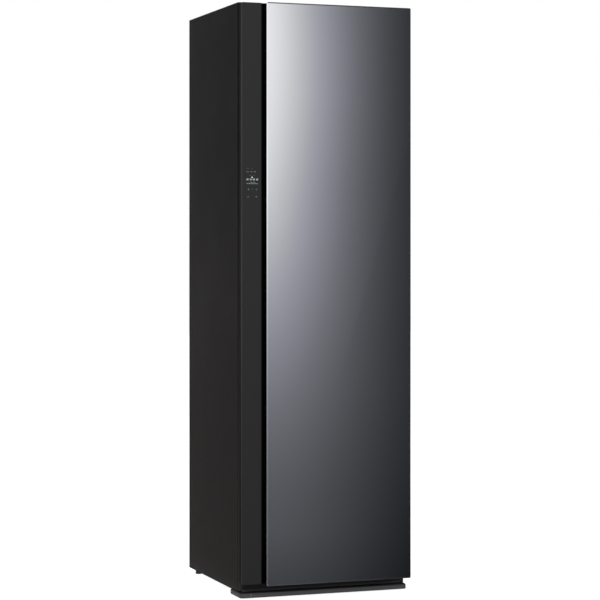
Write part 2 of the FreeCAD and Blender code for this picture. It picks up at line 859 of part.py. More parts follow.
def chamber_ceiling():
    """Chamber ceiling with a slot for each of the rack's posts."""
    plate = new_body("chamber_ceiling")
    outline = box_outline(f"-{LINER_SIDE}", LINER_SIDE, FRAME_BACK, LINER_BACK)
    add(plate, "XY", CEILING, CEILING_TOP, [outline])
    slots = []
    for side in ("-1", "1"):
        middle = f"{side} * post_spacing / 2"
        slots.append(
            box_outline(
                f"{middle} - rack_post - crank_radius - slot_spare",
                f"{middle} + rack_post + crank_radius + slot_spare",
                "-(rack_post + slot_spare)",
                "rack_post + slot_spare",
            )
        )
    take(plate, "XY", CEILING, CEILING_TOP, slots)


def filter_limits(spare):
    """Plan limits of the lint filter, grown by some clearance."""
    front = f"({FRAME_BACK} + filter_setback)"
    return (
        f"-(filter_width / 2 + {spare})",
        f"filter_width / 2 + {spare}",
        f"{front} - {spare}",
        f"{front} + filter_depth + {spare}",
    )


def chamber_floor():
    """Chamber floor with windows for the lint filter, the outlet grille and the steam nozzle."""
    plate = new_body("chamber_floor")
    outline = box_outline(f"-{LINER_SIDE}", LINER_SIDE, FRAME_BACK, LINER_BACK)
    add(plate, "XY", FLOOR_UNDER, "floor_height", [outline])
    take(plate, "XY", FLOOR_UNDER, "floor_height", [box_outline(*filter_limits("filter_gap"))])
    outlet = box_outline(
        "-outlet_width / 2",
        "outlet_width / 2",
        f"{OUTLET_Y} - outlet_depth / 2",
        f"{OUTLET_Y} + outlet_depth / 2",
    )
    take(plate, "XY", FLOOR_UNDER, "floor_height", [outlet])
    take(plate, "XY", FLOOR_UNDER, "floor_height", circles=[("0", STEAM_Y, "nozzle_radius / 2")])


def wall_insulation():
    """Foam slabs between the outer casing and the liner: two sides and the back."""
    front = CHASSIS_FRONT
    rear = f"{COVER_IN} - screw_room"
    limits = {
        "left": (f"-{SKIN_IN}", f"-{LINER_SIDE}", front, rear),
        "right": (LINER_SIDE, SKIN_IN, front, rear),
        "back": (f"-{CHAMBER_SIDE}", CHAMBER_SIDE, LINER_BACK, COVER_IN),
    }
    slabs = [block(f"slab_{name}", *plan, "floor_height", CEILING) for name, plan in limits.items()]
    group("wall_insulation", slabs)


def outlet_grille():
    """Air outlet in the chamber floor: a flanged frame with leaning slats."""
    grille = new_body("outlet_grille")
    low = f"{OUTLET_Y} - outlet_depth / 2"
    high = f"{OUTLET_Y} + outlet_depth / 2"
    frame = box_outline("-outlet_width / 2", "outlet_width / 2", low, high)
    opening = box_outline(
        "-(outlet_width / 2 - grille_lip)",
        "outlet_width / 2 - grille_lip",
        f"{low} + grille_lip",
        f"{high} - grille_lip",
    )
    lip = box_outline(
        "-(outlet_width / 2 + grille_lip)",
        "outlet_width / 2 + grille_lip",
        f"{low} - grille_lip",
        f"{high} + grille_lip",
    )
    add(grille, "XY", FLOOR_UNDER, "floor_height", [frame, opening])
    add(grille, "XY", "floor_height", "floor_height + grille_rise", [lip, opening])
    pitch = "((outlet_width - 2 * grille_lip) / (slat_count + 1))"
    start = f"(-outlet_width / 2 + grille_lip + {pitch})"
    slat = [
        (f"{start} - slat_thick", FLOOR_UNDER),
        (start, FLOOR_UNDER),
        (f"{start} + slat_thick", "floor_height + grille_rise"),
        (start, "floor_height + grille_rise"),
    ]
    blade = add(grille, "XZ", f"{low} + grille_lip / 2", f"{high} - grille_lip / 2", [slat])
    repeat(grille, blade, "X_Axis", f"{pitch} * (slat_count - 1)", "slat_count")


def chamber_lamp():
    """Light strip under the front of the chamber ceiling."""
    lamp = new_body("chamber_lamp")
    front = f"({FRAME_BACK} + 2 * lamp_depth)"
    outline = box_outline("-lamp_width / 2", "lamp_width / 2", front, f"{front} + lamp_depth")
    add(lamp, "XY", f"{CEILING} - lamp_height", CEILING, [outline])
    low = f"{CEILING} - lamp_height"
    chamfer(lamp, "lamp_height / 2", {"y": front, "z": low}, {"y": f"{front} + lamp_depth", "z": low})


def shelf():
    """Slatted shelf: a rim with a row of slats."""
    tray = new_body("shelf")
    half = f"({CHAMBER_SIDE} - shelf_side_gap)"
    low = "(shelf_height + fit_gap)"
    rim = box_outline(f"-{half}", half, SHELF_FRONT, SHELF_BACK)
    room = box_outline(
        f"-({half} - shelf_rim)",
        f"{half} - shelf_rim",
        f"{SHELF_FRONT} + shelf_rim",
        f"{SHELF_BACK} - shelf_rim",
    )
    add(tray, "XY", low, f"{low} + shelf_thick", [rim, room])
    pitch = f"(2 * ({half} - shelf_rim) / (shelf_slats + 1))"
    first = f"(shelf_rim - {half} + {pitch})"
    slat = box_outline(
        f"{first} - shelf_slat / 2",
        f"{first} + shelf_slat / 2",
        f"{SHELF_FRONT} + shelf_rim",
        f"{SHELF_BACK} - shelf_rim",
    )
    row = add(tray, "XY", low, f"{low} + shelf_thick", [slat])
    repeat(tray, row, "X_Axis", f"{pitch} * (shelf_slats - 1)", "shelf_slats")


# ---------------------------------------------------------------- tank bay and lint filter


def tank_bay():
    """Moulded housing of the two water tanks, open to the front, with a middle wall."""
    bay = new_body("tank_bay")
    outer = box_outline(f"-{LINER_SIDE}", LINER_SIDE, "bay_bottom - bay_wall", f"{BAY_TOP} + bay_wall")
    add(bay, "XZ", FRAME_BACK, f"{BAY_BACK} + bay_wall", [outer])
    rooms = [
        box_outline(f"-{CHAMBER_SIDE}", "-bay_wall", "bay_bottom", BAY_TOP),
        box_outline("bay_wall", CHAMBER_SIDE, "bay_bottom", BAY_TOP),
    ]
    take(bay, "XZ", FRAME_BACK, BAY_BACK, rooms)


def tank_frame(side):
    """Centre, half width, front, back, bottom and top of a tank as expression texts."""
    middle = f"({side} * ({CHAMBER_SIDE} + bay_wall) / 2)"
    front = f"({FRAME_BACK} + tank_setback)"
    back = f"({BAY_BACK} - tank_back_gap)"
    low = "(bay_bottom + fit_gap)"
    half = f"(({CHAMBER_SIDE} - bay_wall) / 2 - tank_side_gap)"
    return middle, half, front, back, low, f"({low} + tank_height)"


def tank(name, side):
    """Water tank with a finger pocket in its front, open at the top under its lid."""
    vessel = new_body(name)
    middle, half, front, back, low, high = tank_frame(side)
    outline = box_outline(f"{middle} - {half}", f"{middle} + {half}", front, back)
    add(vessel, "XY", low, high, [outline])
    room = box_outline(
        f"{middle} - {half} + tank_wall",
        f"{middle} + {half} - tank_wall",
        f"{front} + tank_wall",
        f"{back} - tank_wall",
    )
    take(vessel, "XY", f"{low} + tank_wall", high, [room])
    for radius, wall in (("tank_radius - tank_wall", "tank_wall"), ("tank_radius", "0")):
        corners = []
        for x in (f"{middle} - {half} + {wall}", f"{middle} + {half} - {wall}"):
            corners += [{"x": x, "y": f"{front} + {wall}"}, {"x": x, "y": f"{back} - {wall}"}]
        fillet(vessel, radius, *corners)
    pocket_top = f"({high} - tank_pocket_drop)"
    pocket_low = f"({pocket_top} - tank_pocket_height)"
    shell = box_outline(
        f"{middle} - tank_pocket_width / 2 - tank_wall",
        f"{middle} + tank_pocket_width / 2 + tank_wall",
        f"{pocket_low} - tank_wall",
        f"{pocket_top} + tank_wall",
    )
    add(vessel, "XZ", f"{front} + tank_wall / 2", f"{front} + tank_pocket_depth + tank_wall", [shell])
    mouth = box_outline(
        f"{middle} - tank_pocket_width / 2",
        f"{middle} + tank_pocket_width / 2",
        pocket_low,
        pocket_top,
    )
    take(vessel, "XZ", front, f"{front} + tank_pocket_depth", [mouth])


def tank_lid(name, side):
    """Tank lid with a tab that drops inside the tank and a round filler cap."""
    lid = new_body(name)
    middle, half, front, back, low, high = tank_frame(side)
    plate = box_outline(f"{middle} - {half}", f"{middle} + {half}", front, back)
    top = f"({high} + lid_thick)"
    add(lid, "XY", high, top, [plate])
    corners = []
    for x in (f"{middle} - {half}", f"{middle} + {half}"):
        corners += [{"x": x, "y": front}, {"x": x, "y": back}]
    fillet(lid, "tank_radius", *corners)
    cap = (f"{middle} + {half} / 2", f"({front} + {back}) / 2", "lid_cap_radius")
    add(lid, "XY", top, f"{top} + lid_cap_height", circles=[cap])
    tab = box_outline(
        f"{middle} - tank_pocket_width / 3",
        f"{middle} + tank_pocket_width / 3",
        f"{front} + tank_wall + fit_gap",
        f"{front} + 2 * tank_wall + fit_gap",
    )
    add(lid, "XY", f"{high} - tank_pocket_drop / 2", high, [tab])


def lint_filter():
    """Lint filter: a cassette with a lipped top and a finger pocket, and its woven screen."""
    cassette = new_body("filter_cassette", alone=False)
    x_low, x_high, y_low, y_high = filter_limits("0")
    top = "(floor_height + fit_gap + filter_lip_thick)"
    low = "(floor_height - filter_height)"
    add(cassette, "XY", low, f"{top} - filter_lip_thick", [box_outline(x_low, x_high, y_low, y_high)])
    lip = box_outline(*filter_limits("filter_lip"))
    add(cassette, "XY", f"{top} - filter_lip_thick", top, [lip])
    room = box_outline(
        f"{x_low} + filter_frame",
        f"{x_high} - filter_frame",
        f"{low} + filter_frame",
        "floor_height - 2.5 * filter_frame",
    )
    take(cassette, "XZ", y_low, y_high, [room])
    middle = f"(({y_low}) + ({y_high})) / 2"
    grip = box_outline(
        "-filter_width / 6",
        "filter_width / 6",
        f"{middle} - filter_depth / 4",
        f"{middle} + filter_depth / 4",
    )
    take(cassette, "XY", f"{top} - 2 * filter_frame", top, [grip])
    x_side = "filter_width / 2 + filter_lip"
    fillet(
        cassette,
        "filter_lip",
        {"x": x_side, "y": f"{y_low} - filter_lip"},
        {"x": x_side, "y": f"{y_high} + filter_lip"},
        {"x": f"-({x_side})", "y": f"{y_low} - filter_lip"},
        {"x": f"-({x_side})", "y": f"{y_high} + filter_lip"},
    )
    screen = block(
        "filter_screen",
        f"{x_low} + filter_frame",
        f"{x_high} - filter_frame",
        f"{middle} - mesh_thick / 2",
        f"{middle} + mesh_thick / 2",
        "floor_height - filter_height + filter_frame",
        "floor_height - 2.5 * filter_frame",
    )
    group("lint_filter", [cassette, screen])


def filter_housing():
    """Air duct round the cassette, from the tank bay's top to the chamber floor."""
    housing = new_body("filter_housing")
    inner = box_outline(*filter_limits("filter_gap"))
    outer = box_outline(*filter_limits("(filter_gap + housing_wall)"))
    add(housing, "XY", f"{BAY_TOP} + bay_wall", FLOOR_UNDER, [outer, inner])
    y_high = filter_limits("0")[3]
    window = box_outline(
        "-(filter_width / 2 - filter_frame)",
        "filter_width / 2 - filter_frame",
        f"{BAY_TOP} + bay_wall + filter_frame",
        f"{FLOOR_UNDER} - filter_frame",
    )
    take(housing, "XZ", y_high, f"{y_high} + 2 * housing_wall", [window])


# ---------------------------------------------------------------- machine compartment

STEAM_Y = f"({OUTLET_Y} - steam_reach)"
BOILER_X = f"(boiler_inset - {SIDE})"
FAN_Y = f"({OUTLET_Y} - fan_width / 2)"
SCROLL_STEPS = 14
SCROLL_SWEEP = 290
SCROLL_LOW = f"({FAN_Y} - scroll_wall - fan_side_gap)"
SCROLL_HIGH = f"({FAN_Y} + fan_width + scroll_wall + fan_side_gap)"
SCROLL_SIDE = "(fan_radius + 3 * scroll_gap + scroll_wall)"


def fan_scroll_radius(share):
    """Radius of the scroll after a share of its turn."""
    return f"(fan_radius + scroll_gap + {share:.4f} * 2 * scroll_gap)"


def scroll_outline(grow):
    """Spiral outline of the fan scroll in the X-Z plane: widest on the right, where it rises."""
    points = []
    for step in range(SCROLL_STEPS + 1):
        share = step / SCROLL_STEPS
        angle = math.radians(-SCROLL_SWEEP * share)
        radius = f"({fan_scroll_radius(1 - share)} + {grow})"
        points.append((f"{radius} * {math.cos(angle):.6f}", f"fan_height + {radius} * {math.sin(angle):.6f}"))
    return points


def fan_housing():
    """Scroll housing of the circulation fan with its throat up to the outlet grille."""
    housing = new_body("fan_housing")
    inside = (f"{SCROLL_LOW} + scroll_wall", f"{SCROLL_HIGH} - scroll_wall")
    left = "(-fan_radius / 2)"
    throat = box_outline(left, SCROLL_SIDE, "fan_height", FLOOR_UNDER)
    duct = box_outline(f"{left} + scroll_wall", f"{SCROLL_SIDE} - scroll_wall", "fan_height", FLOOR_UNDER)
    add(housing, "XZ", SCROLL_LOW, SCROLL_HIGH, [scroll_outline("scroll_wall")])
    add(housing, "XZ", SCROLL_LOW, SCROLL_HIGH, [throat])
    take(housing, "XZ", *inside, [scroll_outline("0")])
    take(housing, "XZ", *inside, [duct])
    inlet = ("0", "fan_height", "fan_radius * 0.8")
    take(housing, "XZ", SCROLL_LOW, inside[0], circles=[inlet])
    take(housing, "XZ", inside[1], SCROLL_HIGH, circles=[("0", "fan_height", "shaft_radius + fan_side_gap")])


def impeller():
    """Forward-curved fan wheel: back plate with its hub, a ring of blades and a front rim."""
    wheel = new_body("impeller")
    disc = "(fan_width - fan_disc)"
    hub = [
        ("shaft_radius + running_gap", "fan_width - fan_hub_length"),
        ("fan_hub", "fan_width - fan_hub_length"),
        ("fan_hub", disc),
        ("fan_radius", disc),
        ("fan_radius", "fan_width"),
        ("shaft_radius + running_gap", "fan_width"),
    ]
    turn(wheel, hub, "hub")
    blade = [
        ("fan_radius * 0.80", "-blade_thick / 2"),
        ("fan_radius * 0.90", "blade_thick * 1.5"),
        ("fan_radius * 0.99", "blade_thick * 5.5"),
        ("fan_radius * 0.97", "blade_thick * 6.3"),
        ("fan_radius * 0.88", "blade_thick * 2.5"),
        ("fan_radius * 0.79", "blade_thick / 2"),
    ]
    vane = add(wheel, "XY", "fan_disc", disc, [blade])
    around(wheel, vane, "blade_count")
    rim = [
        ("fan_radius * 0.78", "0"),
        ("fan_radius", "0"),
        ("fan_radius", "fan_disc"),
        ("fan_radius * 0.78", "fan_disc"),
    ]
    turn(wheel, rim, "rim")
    wheel.Placement = Placement(Vector(), TURNS["y"])
    place(wheel, "0", FAN_Y, "fan_height")


def fan_motor():
    """Fan motor on the back of the scroll, with its shaft and its foot bracket."""
    reach = "(fan_width * 0.45)"
    can = rod("fan_motor_can", "y", "0", SCROLL_HIGH, "fan_height", "motor_length", "motor_radius")
    shaft = rod("fan_motor_shaft", "y", "0", f"{SCROLL_HIGH} - {reach}", "fan_height", reach, "shaft_radius")
    low, high = f"{SCROLL_HIGH} + motor_foot_gap", f"{SCROLL_HIGH} + motor_length - motor_foot_gap"
    plate = block(
        "fan_motor_foot",
        "-motor_radius",
        "motor_radius",
        low,
        high,
        CHASSIS_TOP,
        "fan_height - motor_radius / 2",
    )
    window = block(
        "fan_motor_foot_window",
        "bracket_wall - motor_radius",
        "motor_radius - bracket_wall",
        low,
        high,
        f"{CHASSIS_TOP} + bracket_wall",
        "fan_height - motor_radius - bracket_wall",
    )
    node(join("fan_motor", [can, shaft, carve("fan_motor_bracket", plate, [window])]), "fan_motor")


COMPRESSOR_X = f"({SCROLL_SIDE} + compressor_gap + compressor_radius + compressor_foot)"
COMPRESSOR_Y = f"({BACK} - compressor_setback)"


def compressor():
    """Hermetic compressor: shouldered can with a foot plate on three rubber blocks."""
    can = new_body("compressor_can", alone=False)
    profile = [
        ("0", "mount_height"),
        ("compressor_radius + compressor_foot", "mount_height"),
        ("compressor_radius + compressor_foot", "mount_height + foot_plate"),
        ("compressor_radius", "mount_height + foot_plate"),
        ("compressor_radius", "compressor_height - compressor_shoulder"),
        ("compressor_radius - compressor_shoulder", "compressor_height"),
        ("0", "compressor_height"),
    ]
    turn(can, profile)
    place(can, COMPRESSOR_X, COMPRESSOR_Y, CHASSIS_TOP)
    mounts = []
    for index in range(3):
        angle = math.radians(120 * index + 30)
        x = f"({COMPRESSOR_X} + compressor_radius * {math.cos(angle):.6f})"
        y = f"({COMPRESSOR_Y} + compressor_radius * {math.sin(angle):.6f})"
        half = "mount_width / 2"
        plan = (f"{x} - {half}", f"{x} + {half}", f"{y} - {half}", f"{y} + {half}")
        mounts.append(block(f"mount_{index}", *plan, CHASSIS_TOP, f"{CHASSIS_TOP} + mount_height"))
    group("compressor", [can, *mounts])


EVAPORATOR_FRONT = f"({BAY_BACK} + bay_wall + exchanger_gap)"
CONDENSER_FRONT = f"({EVAPORATOR_FRONT} + exchanger_depth + exchanger_space)"
TUBE_SHARES = (0.3, 0.7)  # heights of a heat exchanger's two tubes


def heat_exchanger(name, front):
    """Finned block: a core with a row of plate fins, and the ends of its two tubes."""
    coil = new_body(name, alone=False)
    half = "(exchanger_width / 2)"
    high = "(exchanger_low + exchanger_height)"
    back = f"({front} + exchanger_depth)"
    core = box_outline(f"{front} + fin_depth", f"{back} - fin_depth", "exchanger_low", high)
    add(coil, "YZ", f"-{half}", half, [core])
    plate = box_outline(front, back, "exchanger_low", high)
    fin = add(coil, "YZ", f"-{half}", f"fin_thick - {half}", [plate])
    repeat(coil, fin, "X_Axis", "exchanger_width - fin_thick", "fin_count")
    line = f"{front} + exchanger_depth / 2"
    tubes = [(line, f"exchanger_low + {share} * exchanger_height", "tube_radius") for share in TUBE_SHARES]
    add(coil, "YZ", half, f"{half} + 3 * tube_radius", circles=tubes)
    return coil


def exchanger_tray():
    """Condensate tray on four legs that carries both heat exchangers."""
    tray = new_body("exchanger_tray")
    half = "(exchanger_width / 2 + tray_lip)"
    front = f"({EVAPORATOR_FRONT} - tray_lip)"
    back = f"({CONDENSER_FRONT} + exchanger_depth + tray_lip)"
    low = "(exchanger_low - tray_depth)"
    add(tray, "XY", low, "exchanger_low + tray_lip", [box_outline(f"-{half}", half, front, back)])
    room = box_outline(
        f"tray_wall - {half}",
        f"{half} - tray_wall",
        f"{front} + tray_wall",
        f"{back} - tray_wall",
    )
    take(tray, "XY", "exchanger_low", "exchanger_low + tray_lip", [room])
    legs = []
    for x_low, x_high in ((f"-{half}", f"leg_width - {half}"), (f"{half} - leg_width", half)):
        for y_low, y_high in ((front, f"{front} + leg_width"), (f"{back} - leg_width", back)):
            legs.append(box_outline(x_low, x_high, y_low, y_high))
    add(tray, "XY", CHASSIS_TOP, low, legs)


def boiler():
    """Steam generator: cast tank with a joint flange, feet and an outlet stub."""
    x_low = f"({BOILER_X} - boiler_width / 2)"
    x_high = f"({BOILER_X} + boiler_width / 2)"
    y_low = f"({STEAM_Y} - boiler_depth / 2)"
    y_high = f"({STEAM_Y} + boiler_depth / 2)"
    high = "(boiler_low + boiler_height)"
    vessel = new_body("steam_generator")
    add(vessel, "XY", "boiler_low", high, [box_outline(x_low, x_high, y_low, y_high)])
    corners = [{"x": x, "y": y} for x in (x_low, x_high) for y in (y_low, y_high)]
    chamfer(vessel, "tank_radius", *corners)
    joint = f"({high} - boiler_height / 3)"
    flange = box_outline(
        f"{x_low} - boiler_flange",
        f"{x_high} + boiler_flange",
        f"{y_low} - boiler_flange",
        f"{y_high} + boiler_flange",
    )
    add(vessel, "XY", joint, f"{joint} + boiler_flange", [flange])
    feet = []
    for x in (f"{x_low} + tank_radius", f"{x_high} - tank_radius - boiler_foot"):
        for y in (f"{y_low} + tank_radius", f"{y_high} - tank_radius - boiler_foot"):
            feet.append(box_outline(x, f"{x} + boiler_foot", y, f"{y} + boiler_foot"))
    add(vessel, "XY", CHASSIS_TOP, "boiler_low", feet)
    add(vessel, "XY", high, f"{high} + boiler_stub", circles=[(BOILER_X, STEAM_Y, "hose_radius")])


def steam_hose():
    """Hose from the boiler up and across to the nozzle: two upright legs and a level run."""
    start = Vector(number(BOILER_X), number(STEAM_Y), number("boiler_low + boiler_height + boiler_stub"))
    finish = Vector(0, start.y, number(FLOOR_UNDER))
    level = finish.z - number("hose_drop")
    corners = [start, Vector(start.x, start.y, level), Vector(finish.x, start.y, level), finish]
    return tube_along(corners, number("hose_radius"))


def tube_along(corners, radius):
    """Round tube with mitred elbows along a line of corners."""
    runs = [Part.LineSegment(first, second).toShape() for first, second in zip(corners, corners[1:])]
    section = Part.Wire([Part.makeCircle(radius, corners[0], corners[1] - corners[0])])
    return Part.Wire(runs).makePipeShell([section], True, False, MITRED)


def refrigerant_tubes():
    """Copper tubes between the compressor's top and the two heat exchangers."""
    lid = number(f"{CHASSIS_TOP} + compressor_height")
    side = number("exchanger_width / 2 + 3 * tube_radius")
    aside = number("tube_spacing / 2")
    runs = []
    for share, front, way in zip(TUBE_SHARES, (EVAPORATOR_FRONT, CONDENSER_FRONT), (-1, 1)):
        start = Vector(number(COMPRESSOR_X) + way * aside, number(COMPRESSOR_Y), lid)
        level = number("exchanger_low") + share * number("exchanger_height")
        line = number(f"{front} + exchanger_depth / 2")
        rise = max(lid, level) + number("tube_rise")
        corners = [
            start,
            Vector(start.x, start.y, rise),
            Vector(start.x, line, rise),
            Vector(start.x, line, level),
            Vector(side, line, level),
        ]
        runs.append(tube_along(corners, number("tube_radius")))
    return runs


def pipework():
    """Steam hose and refrigerant tubes, each a solid of its own."""
    pipes = doc.addObject("Part::Feature", "pipework")
    pipes.Shape = Part.makeCompound([steam_hose(), *refrigerant_tubes()])
    node(pipes, "pipework")


def steam_nozzle():
    """Square steam outlet cap on a round neck in the chamber floor, with three slots over the hose."""
    cap = new_body("steam_nozzle")
    half = "nozzle_radius"
    add(cap, "XY", "0", "nozzle_height", [box_outline(f"-{half}", half, f"-{half}", half)])
    sides = [{axis: f"{sign}{half}", "z": "nozzle_height"} for axis in ("x", "y") for sign in ("-", "")]
    chamfer(cap, "nozzle_slope", *sides)
    add(cap, "XY", "-floor_thick", "0", circles=[("0", "0", "nozzle_radius / 2")])
    slots = []
    for index in (-1, 0, 1):
        middle = f"{index} * 2 * nozzle_slot"
        across = (f"{middle} - nozzle_slot / 2", f"{middle} + nozzle_slot / 2")
        slots.append(box_outline(*across, "-nozzle_slot_length / 2", "nozzle_slot_length / 2"))
    take(cap, "XY", "-floor_thick", "nozzle_height", slots)
    place(cap, "0", STEAM_Y, "floor_height")


def water_pump():
    """Feed pump between the supply tank and the boiler."""
    x = "(-exchanger_width / 2 - 2 * wall_depth)"
    y = f"({BAY_BACK} + bay_wall + 1.6 * pump_radius)"
    half = "1.3 * pump_radius"
    top = f"({CHASSIS_TOP} + pump_foot)"
    plan = (f"{x} - {half}", f"{x} + {half}", f"{y} - {half}", f"{y} + {half}")
    foot = block("pump_base", *plan, CHASSIS_TOP, top)
    can = rod("pump_can", "z", x, y, top, "pump_length", "pump_radius")
    node(join("water_pump", [foot, can]), "water_pump")


# ---------------------------------------------------------------- moving hanger

CARRIAGE_LOW = f"({CEILING_TOP} + carriage_low)"
CARRIAGE_TOP = f"({CARRIAGE_LOW} + carriage_height)"
GUIDE_Z = f"({CARRIAGE_LOW} + carriage_height / 2)"
YOKE_TOP = f"({CARRIAGE_TOP} + yoke_height)"
PIN_END = f"({YOKE_TOP} + pin_play)"
WHEEL_LOW = f"({PIN_END} + wheel_rise)"
WHEEL_TOP = f"({WHEEL_LOW} + wheel_width)"
PLATE_LOW = f"({WHEEL_TOP} + wheel_room)"
PLATE_TOP = f"({PLATE_LOW} + drive_plate)"
RACK_LOW = f"({CEILING} - rack_drop)"
RACK_TOP = f"({RACK_LOW} + rack_height)"


def hanger_rack():
    """Hanger rail with a notch for each hanger, two posts and the sliding carriage."""
    rail = new_body("hanger_rack")
    half = f"({CHAMBER_SIDE} - rack_end_gap)"
    bar = box_outline(f"-{half}", half, "-rack_depth / 2", "rack_depth / 2")
    add(rail, "XY", RACK_LOW, RACK_TOP, [bar])
    fillet(
        rail,
        "rack_depth / 3",
        {"x": f"-{half}", "y": "-rack_depth / 2"},
        {"x": f"-{half}", "y": "rack_depth / 2"},
        {"x": half, "y": "-rack_depth / 2"},
        {"x": half, "y": "rack_depth / 2"},
    )
    first = "(-notch_pitch * (notch_count - 1) / 2)"
    notch = [
        (f"{first} - notch_width / 2 - notch_flare", RACK_TOP),
        (f"{first} - notch_width / 2", f"{RACK_TOP} - notch_depth"),
        (f"{first} + notch_width / 2", f"{RACK_TOP} - notch_depth"),
        (f"{first} + notch_width / 2 + notch_flare", RACK_TOP),
    ]
    cut = take(rail, "XZ", "-rack_depth", "rack_depth", [notch])
    repeat(rail, cut, "X_Axis", "notch_pitch * (notch_count - 1)", "notch_count")
    posts = [(f"{side} * post_spacing / 2", "0", "rack_post") for side in ("-1", "1")]
    add(rail, "XY", f"{RACK_TOP} - post_sink", CARRIAGE_LOW, circles=posts)
    length, depth = "carriage_length", "carriage_depth"
    plate = box_outline(f"-{length} / 2", f"{length} / 2", f"-{depth} / 2", f"{depth} / 2")
    add(rail, "XY", CARRIAGE_LOW, CARRIAGE_TOP, [plate])
    window = box_outline(f"-{length} / 4", f"{length} / 4", f"-{depth} / 4", f"{depth} / 4")
    take(rail, "XY", CARRIAGE_LOW, f"{CARRIAGE_TOP} - carriage_height / 3", [window])
    bores = []
    for side in ("-1", "1"):
        bores.append((f"{side} * guide_spacing / 2", GUIDE_Z, "guide_radius + running_gap"))
    take(rail, "YZ", "-carriage_length / 2", "carriage_length / 2", circles=bores)


def rack_yoke():
    """Slotted yoke on the carriage that turns the crank's circle into a stroke."""
    yoke = new_body("rack_yoke")
    reach = "(crank_radius + crank_pin + yoke_end_gap)"
    wall = "(yoke_slot / 2 + yoke_wall)"
    plate = box_outline(f"-{wall}", wall, f"-({reach} + yoke_end)", f"{reach} + yoke_end")
    add(yoke, "XY", CARRIAGE_TOP, YOKE_TOP, [plate])
    slot = box_outline("-yoke_slot / 2", "yoke_slot / 2", f"-{reach}", reach)
    take(yoke, "XY", CARRIAGE_TOP, YOKE_TOP, [slot])


def rack_guides():
    """Two guide rods in end blocks that stand on the chamber ceiling."""
    guides = []
    reach = "(carriage_length / 2 + crank_radius + guide_spare)"
    around_rod = "(guide_radius + guide_wall)"
    for side, name in (("-1", "front"), ("1", "rear")):
        y = f"({side} * guide_spacing / 2)"
        start, length = f"-({reach} + guide_seat)", f"2 * ({reach} + guide_seat)"
        pieces = [rod(f"guide_{name}", "x", start, y, GUIDE_Z, length, "guide_radius")]
        plan = (f"{y} - {around_rod}", f"{y} + {around_rod}", CEILING_TOP, f"{GUIDE_Z} + {around_rod}")
        pieces.append(block(f"guide_{name}_left", f"-({reach} + guide_block)", f"-{reach}", *plan))
        pieces.append(block(f"guide_{name}_right", reach, f"{reach} + guide_block", *plan))
        guides.append(join(f"guide_set_{name}", pieces))
    group("rack_guides", guides)


def crank_wheel():
    """Plain belt wheel of the crank, hung on its shaft, with the crank pin under it."""
    wheel = new_body("crank_wheel")
    shaft_top = f"{PLATE_TOP} + bearing_height - {WHEEL_LOW}"
    profile = [
        ("0", "0"),
        ("crank_wheel", "0"),
        ("crank_wheel", "wheel_width"),
        ("shaft_radius", "wheel_width"),
        ("shaft_radius", shaft_top),
        ("0", shaft_top),
    ]
    turn(wheel, profile)
    add(wheel, "XY", f"{PIN_END} - {WHEEL_LOW}", "0", circles=[("0", "crank_radius", "crank_pin")])
    place(wheel, "0", "0", WHEEL_LOW)


def motor_wheel():
    """Small belt wheel on the motor's shaft, with a flange that keeps the belt up."""
    wheel = new_body("motor_wheel")
    face = "((wheel_width - belt_width - belt_play) / 2)"
    shaft_top = f"{PLATE_TOP} + drive_motor_height / 2 - belt_play - {WHEEL_LOW}"
    profile = [
        ("0", "0"),
        ("motor_wheel + wheel_lip", "0"),
        ("motor_wheel + wheel_lip", face),
        ("motor_wheel", face),
        ("motor_wheel", "wheel_width"),
        ("shaft_radius", "wheel_width"),
        ("shaft_radius", shaft_top),
        ("0", shaft_top),
    ]
    turn(wheel, profile)
    place(wheel, "drive_spacing", "0", WHEEL_LOW)


def drive_belt():
    """Flat belt round both wheels: two arcs and their outer tangents."""
    belt = doc.addObject("Part::Feature", "drive_belt")
    clear = number("fit_gap")
    inner = (number("crank_wheel") + clear, number("motor_wheel") + clear)
    outer = [radius + number("belt_thick") for radius in inner]
    low = number(f"{WHEEL_LOW} + (wheel_width - belt_width) / 2")
    spacing = number("drive_spacing")
    faces = [Part.Face(tangent_loop(*radii, spacing, low)) for radii in (outer, inner)]
    belt.Shape = faces[0].cut(faces[1]).Faces[0].extrude(Vector(0, 0, number("belt_width")))
    node(belt, "drive_belt")


def tangent_loop(big, small, spacing, height):
    """Closed wire round a big wheel at the origin and a small one along +X."""
    lean = math.acos((big - small) / spacing)
    points = {}
    for name, radius, x in (("big", big, 0), ("small", small, spacing)):
        for side in (1, -1):
            points[name, side] = Vector(x + radius * math.cos(lean), side * radius * math.sin(lean), height)
    left = Vector(-big, 0, height)
    right = Vector(spacing + small, 0, height)
    edges = [
        Part.Arc(points["big", 1], left, points["big", -1]).toShape(),
        Part.LineSegment(points["big", -1], points["small", -1]).toShape(),
        Part.Arc(points["small", -1], right, points["small", 1]).toShape(),
        Part.LineSegment(points["small", 1], points["big", 1]).toShape(),
    ]
    return Part.Wire(edges)


